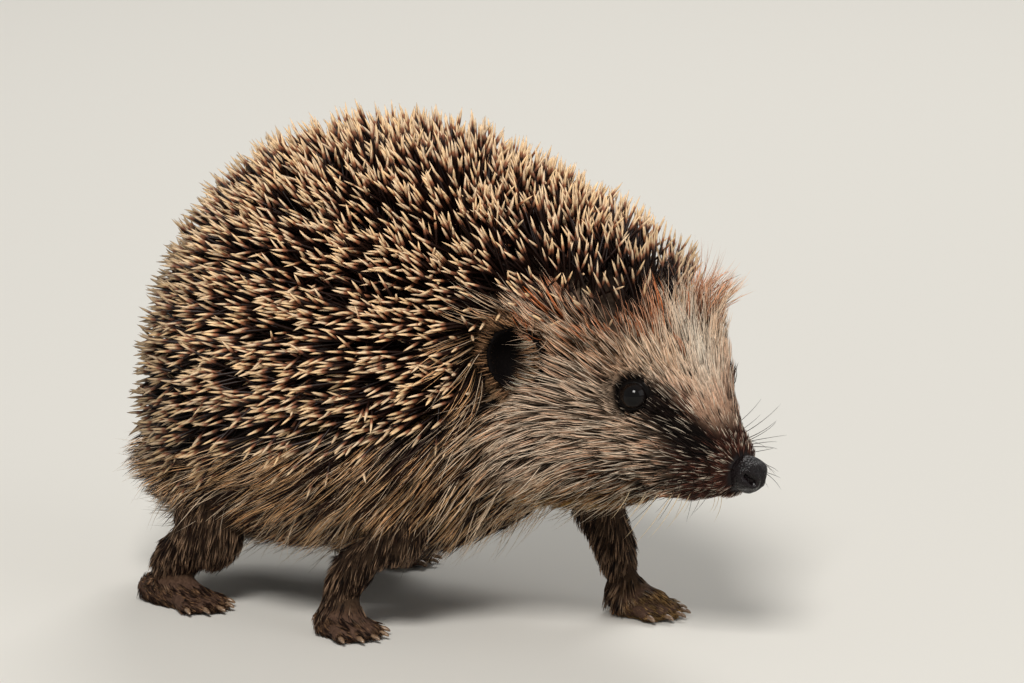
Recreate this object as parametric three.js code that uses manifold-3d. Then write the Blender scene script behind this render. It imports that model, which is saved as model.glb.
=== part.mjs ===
// A young European hedgehog in mid-stride, as a still life-size model, in millimetres.
// +X is the way the body walks, +Y its left, +Z up, and the floor is z = 0.
// Each solid runs out to the tips of its coat: quills on the trunk, fur elsewhere.
import * as THREE from "three";
import { mergeVertices } from "three/addons/utils/BufferGeometryUtils.js";
import Module from "manifold-3d";

const wasm = await Module();
wasm.setup();

// ---- Driving dimensions ----------------------------------------------------------------
const CUT = 0.35; // width of the cuts that part one piece from the next
const HEAD_AT = new THREE.Vector3(27.5, 0, 0); // the point midway between the ears
const HEAD_TURN = -5; // degrees, towards the animal's right
const EAR = {
  forward: 0,
  side: 22,
  height: 63,
  wide: 6.2,
  tall: 7.6,
  thick: 3.2,
  rim: 1.1,
  tilt: -14, // degrees, its top outwards
  turn: -28, // degrees, its opening forwards
};
const EYE = { forward: 26, side: 12.2, height: 57.6, radius: 3.3 };
const NOSE = { forward: 46.2, height: 41.6, long: 4.1, wide: 3.9, tall: 3.7 };
const MOUTH = { corner: 27, height: 38.6 };
const NECK_END = -1; // where the neck gives way to the head, along the head
const TOES = { count: 5, fan: 0.42, radius: 1.5, tuck: 1.6, shorter: 0.22 };
const CLAW = { length: 3.8, radius: 0.75, clearance: 0.15 };

// Trunk from rump to brow: where a section lies, its half width, its top and its underside.
// Past the shoulders only the hood of quills goes on, over the head.
const TRUNK = [
  { x: -78.5, half: 0, top: 31, under: 31 },
  { x: -74, half: 22, top: 67, under: 10.5 },
  { x: -60, half: 36.5, top: 91, under: 9.5 },
  { x: -40, half: 44.5, top: 105.5, under: 12 },
  { x: -16, half: 46, top: 108.5, under: 14 },
  { x: 4, half: 41.5, top: 105, under: 18 },
  { x: 17, half: 36, top: 100, under: 25 },
  { x: 24, half: 33, top: 97, under: 61 },
  { x: 38, half: 25.5, top: 91.5, under: 67 },
  { x: 51, half: 16.5, top: 86.5, under: 72 },
  { x: 57, half: 0, top: 79, under: 79 },
];

// Head from nape to muzzle, along its own axis.
const HEAD = [
  { x: -18, half: 0, top: 52, under: 52 },
  { x: -13, half: 24, top: 72, under: 30 },
  { x: 0, half: 27, top: 77, under: 27 },
  { x: 13, half: 22, top: 79, under: 29 },
  { x: 24, half: 17, top: 80, under: 32 },
  { x: 30, half: 14.5, top: 77, under: 33.5 },
  { x: 35, half: 11, top: 67, under: 34.5 },
  { x: 40, half: 8, top: 55.5, under: 35.5 },
  { x: 44.5, half: 5.5, top: 47.5, under: 36.5 },
  { x: 47, half: 0, top: 41.5, under: 41.5 },
];

// Each limb's middle line from inside the body to the ankle, with its radius at each point.
const LIMBS = {
  foreleg_left: {
    line: [[8, 15, 44], [16, 19, 30], [22, 21, 18], [26, 21, 6]],
    radii: [9, 8, 6, 4.6],
  },
  foreleg_right: {
    line: [[10, -20, 42], [1, -26, 29], [-9, -28.5, 16], [-15, -29, 6]],
    radii: [9, 7, 5.4, 4.6],
  },
  hindleg_left: {
    line: [[-42, 22, 36], [-36, 27, 24], [-44, 28, 13], [-52, 28, 6]],
    radii: [12, 9, 6.4, 5],
  },
  hindleg_right: {
    line: [[-48, -20, 36], [-45, -26, 24], [-55, -27, 13], [-64, -27, 6]],
    radii: [12, 9, 6.4, 5],
  },
};

// Each paw: its heel on the floor, the way its toes point, and its length without them.
const PAWS = {
  forepaw_left: { heel: [25, 21], turn: 4, length: 9, half: 5.2, toe: 6.5 },
  forepaw_right: { heel: [-17, -29], turn: -8, length: 9, half: 5.2, toe: 6.5 },
  hindpaw_left: { heel: [-55, 28], turn: 8, length: 17, half: 4.8, toe: 7 },
  hindpaw_right: { heel: [-67, -27], turn: -8, length: 17, half: 4.8, toe: 7 },
};

const TAIL = {
  line: [[-60, 0, 20], [-68, 0, 14], [-74, 0, 9.5], [-80, 0, 6]],
  radii: [4, 3.4, 2.6, 1.3],
};

// ---- Finishes --------------------------------------------------------------------------
const finish = (color, roughness, metalness = 0) =>
  new THREE.MeshStandardMaterial({ color, roughness, metalness });
const QUILLS = finish(0x8a7458, 0.7);
const FUR = finish(0x8d745d, 0.9);
const BARE_SKIN = finish(0x5b4a44, 0.6);
const NOSE_SKIN = finish(0x14100f, 0.3);
const EYE_GLOSS = finish(0x050505, 0.05);
const HORN = finish(0x8c7866, 0.4);

// ---- Solids ----------------------------------------------------------------------------
// The closed solid inside a geometry, thickened everywhere by grow.
function solid(geometry, grow = 0) {
  const bare = geometry.clone();
  bare.deleteAttribute("normal");
  bare.deleteAttribute("uv");
  const closed = mergeVertices(bare, 1e-4);
  closed.computeVertexNormals();
  const { position, normal } = closed.attributes;
  for (let i = 0; i < position.count; i++) {
    const moved = new THREE.Vector3().fromBufferAttribute(position, i);
    moved.addScaledVector(new THREE.Vector3().fromBufferAttribute(normal, i), grow);
    position.setXYZ(i, moved.x, moved.y, moved.z);
  }
  const triVerts = new Uint32Array(closed.index.array);
  return new wasm.Manifold(new wasm.Mesh({ numProp: 3, vertProperties: position.array, triVerts }));
}

function geometryOf(made) {
  const { vertProperties, triVerts } = made.getMesh();
  const geometry = new THREE.BufferGeometry();
  geometry.setAttribute("position", new THREE.BufferAttribute(new Float32Array(vertProperties), 3));
  geometry.setIndex(new THREE.BufferAttribute(new Uint32Array(triVerts), 1));
  return geometry;
}

// The room that a piece takes from its neighbours: itself and the cut round it.
const spaceOf = (made) => solid(geometryOf(made), CUT);
const largest = (made) => made.decompose().reduce((a, b) => (b.volume() > a.volume() ? b : a));

// ---- Shapes ----------------------------------------------------------------------------
// Moves each vertex of a sphere, whose poles lie on X, to place(t, across, up):
// t runs from 0 at the rear pole to 1 at the front one.
function bentSphere(around, along, place) {
  const geometry = new THREE.SphereGeometry(1, around, along).rotateZ(-Math.PI / 2);
  const { position } = geometry.attributes;
  for (let i = 0; i < position.count; i++) {
    const v = new THREE.Vector3().fromBufferAttribute(position, i);
    const ring = Math.hypot(v.y, v.z);
    const t = Math.acos(THREE.MathUtils.clamp(-v.x, -1, 1)) / Math.PI;
    const p = ring < 1e-5 ? place(Math.round(t), 0, 0) : place(t, v.y / ring, v.z / ring);
    position.setXYZ(i, p.x, p.y, p.z);
  }
  return geometry;
}

const through = (points) => new THREE.CatmullRomCurve3(points, false, "catmullrom", 0.5);

// A body that follows sections along X. Each is widest at a level part of the way up, and a
// squareness of 2 makes it an ellipse.
function sections(list, { around, along, level, squareness }) {
  const plan = through(list.map((s) => new THREE.Vector3(s.x, s.half, 0)));
  const side = through(list.map((s) => new THREE.Vector3(s.top, s.under, 0)));
  const bulge = (v) => Math.sign(v) * Math.abs(v) ** (2 / squareness);
  return bentSphere(around, along, (t, across, up) => {
    const { x, y: half } = plan.getPoint(t);
    const { x: top, y: under } = side.getPoint(t);
    const middle = under + (top - under) * level;
    const rise = up > 0 ? top - middle : middle - under;
    return new THREE.Vector3(x, Math.max(half, 0) * bulge(across), middle + rise * bulge(up));
  });
}

// A round limb along a smooth line, with round ends.
function limb({ line, radii }, around = 10, along = 9) {
  const path = through(line.map((p) => new THREE.Vector3(...p)));
  const girth = through(radii.map((r, i) => new THREE.Vector3(i, r, 0)));
  return bentSphere(around, along, (t, across, up) => {
    const tangent = path.getTangent(t);
    const side = new THREE.Vector3(0, 0, 1).cross(tangent).normalize();
    const above = tangent.clone().cross(side);
    const radius = girth.getPoint(t).y * Math.sqrt(Math.max(0, 1 - (2 * t - 1) ** 6));
    return path.getPoint(t).addScaledVector(side, across * radius).addScaledVector(above, up * radius);
  });
}

const ball = (x, y, z, around = 12, along = 8) =>
  new THREE.SphereGeometry(1, around, along).scale(x, y, z);
const slab = (low, high) =>
  new THREE.BoxGeometry(high[0] - low[0], high[1] - low[1], high[2] - low[2]).translate(
    (low[0] + high[0]) / 2,
    (low[1] + high[1]) / 2,
    (low[2] + high[2]) / 2,
  );

// ---- Trunk and head --------------------------------------------------------------------
const radians = THREE.MathUtils.degToRad;
const onHead = (geometry) =>
  geometry.rotateZ(radians(HEAD_TURN)).translate(HEAD_AT.x, HEAD_AT.y, HEAD_AT.z);
const trunkShape = sections(TRUNK, { around: 28, along: 26, level: 0.4, squareness: 2.3 });
const headShape = onHead(sections(HEAD, { around: 22, along: 20, level: 0.4, squareness: 2.2 }));
const noseShape = onHead(
  ball(NOSE.long, NOSE.wide, NOSE.tall).translate(NOSE.forward, 0, NOSE.height),
);

const eyeball = (side) => {
  const globe = ball(EYE.radius, EYE.radius, EYE.radius);
  return solid(onHead(globe.translate(EYE.forward, side * EYE.side, EYE.height)));
};

// The hollow between the lids and fur that the eye looks out of.
const eyeBay = (side) =>
  solid(
    onHead(
      ball(EYE.radius + 0.9, EYE.radius, EYE.radius + 0.6).translate(
        EYE.forward + 0.6,
        side * (EYE.side + EYE.radius),
        EYE.height,
      ),
    ),
  );

// An ear: an upright shell that opens forwards and outwards.
function ear(side) {
  const place = (geometry) =>
    onHead(
      geometry
        .rotateX(side * radians(EAR.tilt))
        .rotateZ(side * radians(EAR.turn))
        .translate(EAR.forward, side * EAR.side, EAR.height),
    );
  const shell = solid(place(ball(EAR.wide, EAR.thick, EAR.tall)));
  const cup = ball(EAR.wide - EAR.rim, EAR.thick, EAR.tall - EAR.rim);
  cup.translate(0, side * EAR.thick * 0.75, 0);
  return shell.subtract(solid(place(cup)));
}

// The space in the fur that the ear opens into.
const earBay = (side) =>
  solid(
    onHead(
      ball(EAR.wide + 1.6, EAR.thick * 2.8, EAR.tall + 1.4).translate(
        EAR.forward + 0.5,
        side * (EAR.side + 4.5),
        EAR.height,
      ),
    ),
  );

const sides = { left: 1, right: -1 };
const ears = { left: ear(sides.left), right: ear(sides.right) };
const eyes = { left: eyeball(sides.left), right: eyeball(sides.right) };
const bothSides = (made, cut) => Object.keys(sides).reduce(cut, made);
const clearOfEars = (made) =>
  bothSides(made, (rest, name) => rest.subtract(earBay(sides[name])).subtract(spaceOf(ears[name])));
const clearOfEyes = (made) =>
  bothSides(made, (rest, name) => rest.subtract(eyeBay(sides[name])).subtract(spaceOf(eyes[name])));

const REACH = 120; // beyond the animal's ends, for the slabs that part it
const headBlock = (low, high) => solid(onHead(slab(low, high)));
const behindNeckEnd = headBlock([-REACH, -REACH, 0], [NECK_END, REACH, REACH]);
const aheadOfNeck = headBlock([NECK_END + CUT, -REACH, 0], [REACH, REACH, REACH]);
const jawBlock = headBlock([MOUTH.corner + CUT, -REACH, 0], [REACH, REACH, MOUTH.height]);
const mouthBlock = headBlock([MOUTH.corner, -REACH, 0], [REACH, REACH, MOUTH.height + CUT]);

// ---- Paws ------------------------------------------------------------------------------
function paw({ heel, turn, length, half, toe }) {
  const place = (geometry) => geometry.rotateZ(radians(turn)).translate(heel[0], heel[1], 0);
  const palm = ball(length / 2 + 2.2, half, 4.6, 10, 7).translate(length / 2, 0, 2.6);
  const last = (TOES.count - 1) / 2;
  const claws = [];
  let foot = solid(place(palm));
  for (let i = 0; i < TOES.count; i++) {
    const out = (i - last) / last;
    const angle = out * TOES.fan;
    const root = { x: length - 2 - TOES.tuck * out ** 2, y: out * (half - 1.3) };
    const reach = toe * (1 - TOES.shorter * out ** 2);
    const at = (d, z) => [root.x + d * Math.cos(angle), root.y + d * Math.sin(angle), z];
    const digit = {
      line: [at(0, 2.2), at(reach * 0.55, 2.1), at(reach, 1.3)],
      radii: [TOES.radius, TOES.radius, TOES.radius * 0.77],
    };
    const nailBed = reach - 0.8;
    const horn = {
      line: [at(nailBed, 1.5), at(nailBed + CLAW.length * 0.6, 1.5), at(nailBed + CLAW.length, 0.75)],
      radii: [CLAW.radius, CLAW.radius * 0.8, CLAW.radius * 0.4],
    };
    foot = foot.add(solid(place(limb(digit, 6, 4))));
    claws.push(solid(place(limb(horn, 5, 4))).trimByPlane([0, 0, 1], CLAW.clearance));
  }
  return { foot: foot.trimByPlane([0, 0, 1], 0), claws };
}

// ---- The animal ------------------------------------------------------------------------
const hedgehog = new THREE.Group();
hedgehog.name = "hedgehog";

// Adds a solid as a named mesh that stands at its own centre.
function add(name, made, material) {
  const geometry = geometryOf(largest(made));
  geometry.computeVertexNormals();
  geometry.computeBoundingBox();
  const centre = geometry.boundingBox.getCenter(new THREE.Vector3());
  geometry.translate(-centre.x, -centre.y, -centre.z);
  const mesh = new THREE.Mesh(geometry, material);
  mesh.name = name;
  mesh.position.copy(centre);
  hedgehog.add(mesh);
}

const headSpace = solid(headShape, CUT);
const trunkSpace = solid(trunkShape, CUT);
const headAndNeck = clearOfEars(solid(headShape));
const face = clearOfEyes(headAndNeck.intersect(aheadOfNeck).subtract(solid(noseShape, CUT)));
const trunk = clearOfEars(solid(trunkShape).subtract(headSpace));

add("trunk", trunk, QUILLS);
add("neck", headAndNeck.intersect(behindNeckEnd), FUR);
add("head", face.subtract(mouthBlock), FUR);
add("jaw", face.intersect(jawBlock), FUR);
add("nose", solid(noseShape), NOSE_SKIN);
add("tail", solid(limb(TAIL)).subtract(spaceOf(trunk)), BARE_SKIN);
for (const side of Object.keys(sides)) {
  add(`eye_${side}`, eyes[side], EYE_GLOSS);
  add(`ear_${side}`, ears[side], BARE_SKIN);
}

// Legs give way to the body and to their own paws, and paws to their claws.
for (const [legName, line] of Object.entries(LIMBS)) {
  const pawName = legName.replace("leg", "paw");
  const { foot, claws } = paw(PAWS[pawName]);
  const leg = solid(limb(line)).subtract(trunkSpace).subtract(headSpace).subtract(spaceOf(foot));
  add(legName, leg, FUR);
  add(pawName, claws.reduce((rest, claw) => rest.subtract(spaceOf(claw)), foot), BARE_SKIN);
  claws.forEach((claw, i) => add(`${pawName}_claw_${i + 1}`, claw, HORN));
}

// The frame's origin is under the middle of the model's box, on the floor.
const box = new THREE.Box3().setFromObject(hedgehog);
const middle = box.getCenter(new THREE.Vector3());
hedgehog.position.set(-middle.x, -middle.y, -box.min.z);

export default hedgehog;
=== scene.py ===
# %% [markdown]
# # A young hedgehog, as a still museum model
# The CAD frame gives a hedgehog's solids out to the tips of its coat. This lesson puts a real
# animal in their place: one skin a coat's depth inside them, then quills, fur, eyes, nose and
# claws. Lengths are worked out in millimetres and become metres when a mesh is made.

import math

import bmesh
import bpy
import numpy as np
from mathutils import Matrix, Vector
from mathutils.bvhtree import BVHTree
from mathutils.kdtree import KDTree


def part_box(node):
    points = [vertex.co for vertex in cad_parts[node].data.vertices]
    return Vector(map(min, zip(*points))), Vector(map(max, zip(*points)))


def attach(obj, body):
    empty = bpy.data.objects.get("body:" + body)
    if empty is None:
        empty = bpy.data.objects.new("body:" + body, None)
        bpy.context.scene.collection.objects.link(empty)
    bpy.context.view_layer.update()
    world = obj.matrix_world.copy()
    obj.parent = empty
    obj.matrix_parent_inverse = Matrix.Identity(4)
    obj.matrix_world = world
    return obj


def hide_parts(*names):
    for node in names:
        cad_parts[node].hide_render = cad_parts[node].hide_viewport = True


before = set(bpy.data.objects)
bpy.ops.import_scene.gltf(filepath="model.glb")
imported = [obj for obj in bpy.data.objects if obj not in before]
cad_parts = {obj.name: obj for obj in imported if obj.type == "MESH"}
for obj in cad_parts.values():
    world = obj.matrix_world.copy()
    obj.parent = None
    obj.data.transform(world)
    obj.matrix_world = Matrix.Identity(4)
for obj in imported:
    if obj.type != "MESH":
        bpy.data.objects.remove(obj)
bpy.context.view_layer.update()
MM = 0.001  # metres in a millimetre
dice = np.random.default_rng(20)

# %% [markdown]
# ## Places on the head
# Everything on the face is set out from the eyes, the ears and the nose, because a face is read by
# how those stand to each other. The frame gives their places, so the head's own axes come from
# them: `AHEAD` runs from between the eyes to the nose, and `LEFT` from the right eye to the left.


# %% Head axes from the frame
def centre_of(node):
    low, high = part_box(node)
    return np.array((low + high) / 2) / MM


def half_size(node):
    low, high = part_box(node)
    return np.array((high - low) / 2) / MM


def unit(v):
    return v / np.maximum(np.linalg.norm(v, axis=-1, keepdims=True), 1e-9)


UP = np.array([0.0, 0.0, 1.0])
BACK = np.array([-1.0, 0.0, 0.0])
EYES = {1: centre_of("eye_left"), -1: centre_of("eye_right")}  # by side: 1 is left
NOSE = centre_of("nose")
EYE_RADIUS = half_size("eye_left")[2]
BETWEEN_EYES = (EYES[1] + EYES[-1]) / 2
LEFT = unit(EYES[1] - EYES[-1])
AHEAD = np.cross(LEFT, UP)
NOSE_AHEAD = (NOSE - BETWEEN_EYES) @ AHEAD
EAR_PLACE = AHEAD * 2.0 + UP * 0.8  # mm from the frame's ear to the middle of its cup
EARS = {1: centre_of("ear_left") + EAR_PLACE, -1: centre_of("ear_right") + EAR_PLACE}


def on_head(points):
    """Ahead of the eyes, off the middle plane and above the floor."""
    d = points - BETWEEN_EYES
    return d @ AHEAD, d @ LEFT, points[..., 2]


def head_point(ahead, left, height):
    return BETWEEN_EYES * [1, 1, 0] + ahead * AHEAD + left * LEFT + height * UP


print("eye radius", EYE_RADIUS, "nose is", round(NOSE_AHEAD, 1), "mm ahead of the eyes")

# %% [markdown]
# ## Small helpers
# Soft borders between regions all use one S-shaped step, and what runs along a line or round a
# place uses one soft hill.


# %% Steps, blends and distances
def step(x, low, high):
    """Rises smoothly from 0 at low to 1 at high; with signs turned round, it falls instead."""
    t = np.clip((x - low) / (high - low), 0, 1)
    return t * t * (3 - 2 * t)


def blend(a, b, share):
    """Blends numbers."""
    return a + (b - a) * share


def mixed(a, b, share):
    """Blends colours or directions, each by its own share."""
    return a + (b - a) * share[:, None]


def bump(x, middle, width):
    """A soft hill: 1 at its middle, about a third at its width."""
    return np.exp(-(((x - middle) / width) ** 2))


def distance(points, place):
    return np.linalg.norm(points - place, axis=-1)


def from_nearer(points, pair):
    """Distance from the nearer of an eye or ear and its twin."""
    return np.minimum(distance(points, pair[1]), distance(points, pair[-1]))


print("a quarter of the way along, a step has risen by", step(0.25, 0, 1))

# %% [markdown]
# ### Meshes as arrays
# A mesh is handled as arrays of points and triangles, because tens of thousands of hairs are
# quicker to set out by whole arrays. Its edges tell which points are neighbours, for smoothing.


# %% Surfaces and objects
def nearest_of(places, points):
    """For each point, which of the places is nearest."""
    tree = KDTree(len(places))
    for k, place in enumerate(places):
        tree.insert(place, k)
    tree.balance()
    return np.array([tree.find(point)[1] for point in points])


def read(items, name, width, kind=float):
    """What a mesh keeps for each point, edge or corner, as an array with width values each."""
    values = np.empty(len(items) * width, kind)
    items.foreach_get(name, values)
    return values.reshape(-1, width)


class Surface:
    """A mesh of triangles as arrays."""

    def __init__(self, mesh):
        self.points = read(mesh.vertices, "co", 3) / MM
        self.triangles = read(mesh.loops, "vertex_index", 1, int).reshape(-1, 3)
        self.one, self.other = read(mesh.edges, "vertices", 2, int).T
        self.neighbours = np.bincount(np.append(self.one, self.other), minlength=len(self.points))

    def averaged(self, values, times=1):
        """Each vertex's value becomes the mean of its neighbours'."""
        flat = values.reshape(len(values), -1)
        for _ in range(times):
            total = np.empty_like(flat)
            for k in range(flat.shape[1]):
                total[:, k] = np.bincount(self.one, flat[self.other, k], len(flat))
                total[:, k] += np.bincount(self.other, flat[self.one, k], len(flat))
            flat = total / self.neighbours[:, None]
        return flat.reshape(values.shape)

    def crossed(self):
        """The cross product of two sides of each triangle: along its normal, and twice its area long."""
        a, b, c = (self.points[self.triangles[:, k]] for k in range(3))
        return np.cross(b - a, c - a)

    def normals(self):
        facing = self.crossed()
        total = np.zeros_like(self.points)
        for corner in range(3):
            for axis in range(3):
                total[:, axis] += np.bincount(self.triangles[:, corner], facing[:, axis], len(total))
        return unit(total)

    def areas(self):
        return np.linalg.norm(self.crossed(), axis=1) / 2


def new_object(name, mesh):
    made = bpy.data.objects.new(name, mesh)
    bpy.context.scene.collection.objects.link(made)
    return made


def object_from(name, bm):
    mesh = bpy.data.meshes.new(name)
    bm.to_mesh(mesh)
    bm.free()
    mesh.shade_smooth()
    return new_object(name, mesh)


def set_values(mesh, name, values):
    """Keeps a number for each point, for a material to read."""
    mesh.attributes.new(name, "FLOAT", "POINT").data.foreach_set("value", np.ravel(values))


def set_tint(mesh, colours):
    """Keeps a colour for each point."""
    rgba = np.ones((len(mesh.vertices), 4))
    rgba[:, :3] = colours.reshape(-1, 3)
    mesh.color_attributes.new("tint", "FLOAT_COLOR", "POINT").data.foreach_set("color", rgba.ravel())


def apply_modifiers(made):
    graph = bpy.context.evaluated_depsgraph_get()
    mesh = bpy.data.meshes.new_from_object(made.evaluated_get(graph))
    made.modifiers.clear()
    made.data = mesh
    mesh.name = made.name
    mesh.shade_smooth()


print("a surface gives", [name for name in vars(Surface) if not name.startswith("_")])

# %% [markdown]
# ## Flesh
# A coat hides where legs, head and trunk meet, and the real skin runs over them without a seam.
# Trunk, neck and head are made first, as one long ball: rays cast in towards a curved spine find
# the frame's outline, which is the coat's, and each point is then drawn in by the coat's depth.
# Rays can't cross, so the skin never folds over itself, as it can where a surface is shrunk.

# %% The spine and its rays
SPINE = np.array([
    [-56, 0, 47], [-30, 0, 52], [0, 0, 55], [22, 0, 54], [40, -1, 54], [56, -2.5, 51], [69, -3.6, 43]
])  # mm, from the rump to the muzzle
SPINE_SMOOTHINGS = 120
CAP = 0.2  # the share of the ball's rows that closes each end
ROWS, AROUND = 190, 150
FAR = 200.0  # mm: rays start this far out


def spine_at(u):
    """Points and forward directions along a smooth line through SPINE."""
    x = np.linspace(0, 1, len(SPINE))
    fine = np.linspace(0, 1, 200)
    line = np.array([np.interp(fine, x, SPINE[:, k]) for k in range(3)]).T
    for _ in range(SPINE_SMOOTHINGS):
        line[1:-1] += (line[:-2] + line[2:] - 2 * line[1:-1]) * 0.4
    forward = unit(np.gradient(line, axis=0))
    at = [np.array([np.interp(u, fine, values[:, k]) for k in range(3)]).T for values in (line, forward)]
    return at[0], unit(at[1])


core = bmesh.new()
bmesh.ops.create_uvsphere(core, u_segments=AROUND, v_segments=ROWS, radius=1)
core.transform(Matrix.Rotation(math.radians(90), 4, "Y"))
bmesh.ops.triangulate(core, faces=core.faces)
core_object = object_from("core", core)
core_ball = Surface(core_object.data)
sphere = core_ball.points * MM
turned = np.arccos(np.clip(-sphere[:, 0], -1, 1)) / math.pi
start, forward = spine_at(np.clip((turned - CAP) / (1 - 2 * CAP), 0, 1))
left = unit(np.cross(UP, forward))
above = np.cross(forward, left)
ring = unit(np.stack([sphere[:, 1], sphere[:, 2]], 1))
out = left * ring[:, :1] + above * ring[:, 1:]
from_end = np.minimum(turned, 1 - turned)
lean = np.where(from_end < CAP, from_end / CAP, 1) * math.pi / 2
rays = out * np.sin(lean)[:, None] + forward * (np.cos(lean) * np.where(turned < 0.5, -1, 1))[:, None]
print("core rays:", len(rays))

# %% [markdown]
# ### How deep the coat is
# Quills stand a centimetre off the back, flank hair half of that, and the hair of the muzzle under
# a millimetre. Each ray takes a depth from the solid that it hit and from where it hit it. Depths
# and distances are then smoothed over the ball, the face less than the rest.

# %% Outline and coat depth along each ray
REGIONS = ["trunk", "neck", "head", "jaw", "nose", "tail", "leg", "paw", "ear"]
CORE_NODES = REGIONS[:5]
QUILL_LINE = (
    (-80, 35), (-58, 35), (-38, 38), (-20, 43), (0, 46), (12, 49),
    (21, 54), (28, 61), (34, 65), (42, 67.5), (50, 69), (56, 72.5),
)  # mm along the body, mm above the floor
NECK_DEPTH, JAW_DEPTH, PAD_DEPTH, EYE_DEPTH = 5.0, 1.2, 0.9, 0.5  # mm of coat
EAR_POCKET = 6.0  # mm that the head is drawn in where an ear's cup sits


def copy_of(node):
    part = bmesh.new()
    part.from_mesh(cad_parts[node].data)
    bmesh.ops.remove_doubles(part, verts=part.verts, dist=1e-6)
    part.normal_update()
    return part


def above_quill_line(points):
    """Height over the line along the flank where quills give way to hair."""
    x, height = np.array(QUILL_LINE).T
    return points[:, 2] - np.interp(points[:, 0], x, height)


def room(places, ways):
    """How far the frame's outline is from each place, along its way."""
    far = np.zeros(len(places))
    for i, (place, way) in enumerate(zip(places, ways)):
        _, _, _, travel = outline_tree.ray_cast(Vector(place + way * FAR) * MM, Vector(-way))
        far[i] = FAR if travel is None else FAR - travel / MM
    return far


solids = bmesh.new()
node_of_face = []
for k, node in enumerate(CORE_NODES):
    solids.from_mesh(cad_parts[node].data)
    node_of_face += [k] * (len(solids.faces) - len(node_of_face))
outline_tree = BVHTree.FromBMesh(solids)
solids.free()
reach = np.zeros(len(rays))
region = np.zeros(len(rays), int)
facing = np.zeros_like(rays)
for i, (place, ray) in enumerate(zip(start, rays)):
    _, normal, face, travel = outline_tree.ray_cast(Vector(place + ray * FAR) * MM, Vector(-ray))
    reach[i] = FAR - travel / MM
    region[i] = node_of_face[face]
    facing[i] = normal
outline = start + rays * reach[:, None]
facing = unit(core_ball.averaged(facing, 6))

ahead, off_middle, height = on_head(outline)
quilled = step(above_quill_line(outline), -5, 3)
under = 4.5 + 3 * step(facing[:, 2], -0.8, -0.1)
on_face = blend(3.4, 0.5, step(ahead, -6, NOSE_AHEAD - 4)) + 2.2 * step(height, 62, 74)
on_back = (10.5 + 3.5 * step(facing[:, 2], 0, 1)) * blend(1, 0.68, step(outline[:, 0], 26, 50))
depths = [blend(under, on_back, quilled), NECK_DEPTH, on_face, JAW_DEPTH, PAD_DEPTH]  # in CORE_NODES' order
depth = np.select([region == k for k in range(len(CORE_NODES))], depths)
depth *= step(from_nearer(outline, EARS), 7, 12)
depth = core_ball.averaged(depth, 14)
depth = blend(EYE_DEPTH, depth, step(from_nearer(outline, EYES), 3.6, 9))
depth /= np.clip((facing * rays).sum(1), 0.6, 1)
inner = reach - depth
on_the_face = step(ahead, -18, -6) * step(-height, -80, -70)
inner = blend(core_ball.averaged(inner, 60), core_ball.averaged(inner, 8), on_the_face)
core_ball.points = start + rays * inner[:, None]
inner -= EAR_POCKET * step(-from_nearer(core_ball.points, EARS), -10, -6)
core_ball.points = start + rays * inner[:, None]
print("coat depth, mm: mean", round(depth.mean(), 1), "most", round(depth.max(), 1))

# %% [markdown]
# ### Limbs, ears and eye sockets
# A hedgehog's ear is a short round cup that opens outwards and forwards, half lost in fur. A
# flattened ball with its outer side pressed in gives the shell, its rim and its hollow. Whole balls
# make the toes, and fill what lies between the frame's parts.

# %% Ears, balls and toes
TOE_SHARES = [0.2, 0.7, 0.9, 1.05]  # of the way from a paw's middle to the root of its claw
TOE_GIRTHS = [2.1, 1.5, 1.75, 1.35]  # mm
HEAD_TURN = Matrix([AHEAD, LEFT, UP]).transposed().to_4x4()
EAR_WIDE, EAR_THICK, EAR_TALL = 6.4, 3.4, 7.8  # mm, half sizes
EAR_RIM = 1.1  # mm
EAR_BACK, EAR_HOLLOW = 1.9, 1.6  # shares of the thickness
EAR_TURN, EAR_TILT = math.radians(-28), math.radians(-14)
AWAY = 9.0  # what ear_cup gives far from the ears, and mm to each side that count as near

flesh = bmesh.new()
region_of_face = []


def add_flesh(part, region_name, grow=0.0):
    """Adds a closed mesh to the flesh and notes which region its faces are."""
    bmesh.ops.triangulate(part, faces=part.faces)
    part.normal_update()
    for v in part.verts:
        v.co += v.normal * grow * MM
    region_of_face.extend([REGIONS.index(region_name)] * len(part.faces))
    mesh = bpy.data.meshes.new("part")
    part.to_mesh(mesh)
    part.free()
    flesh.from_mesh(mesh)
    bpy.data.meshes.remove(mesh)


def ball(radii, place, rows=16):
    """A ball with its half sizes along the head's axes, in millimetres."""
    part = bmesh.new()
    bmesh.ops.create_uvsphere(part, u_segments=2 * rows, v_segments=rows, radius=1)
    size = Matrix.Diagonal([*(np.array(radii) * MM), 1])
    part.transform(Matrix.Translation(place * MM) @ HEAD_TURN @ size)
    return part


def ear_axes(side):
    turn = Matrix.Rotation(side * EAR_TURN, 4, "Z") @ Matrix.Rotation(side * EAR_TILT, 4, "X")
    return HEAD_TURN @ turn


def ear_cup(points):
    """How far out each point lies in the nearer ear's cup: 1 on the crest of its rim, 9 away from it."""
    out_in_cup = np.full(len(points), AWAY)
    for side in (1, -1):
        place = (points - EARS[side]) @ np.array(ear_axes(side).to_3x3())
        crest_wide, crest_tall = EAR_WIDE - 0.5 * EAR_RIM, EAR_TALL - 0.5 * EAR_RIM
        out_here = np.hypot(place[:, 0] / crest_wide, place[:, 2] / crest_tall)
        out_in_cup = np.where(np.abs(place[:, 1]) < AWAY, np.minimum(out_in_cup, out_here), out_in_cup)
    return out_in_cup


def ear_hole(points):
    """How far each point lies in the hollow of an ear."""
    return step(-ear_cup(points), -1.02, -0.86)


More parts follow.
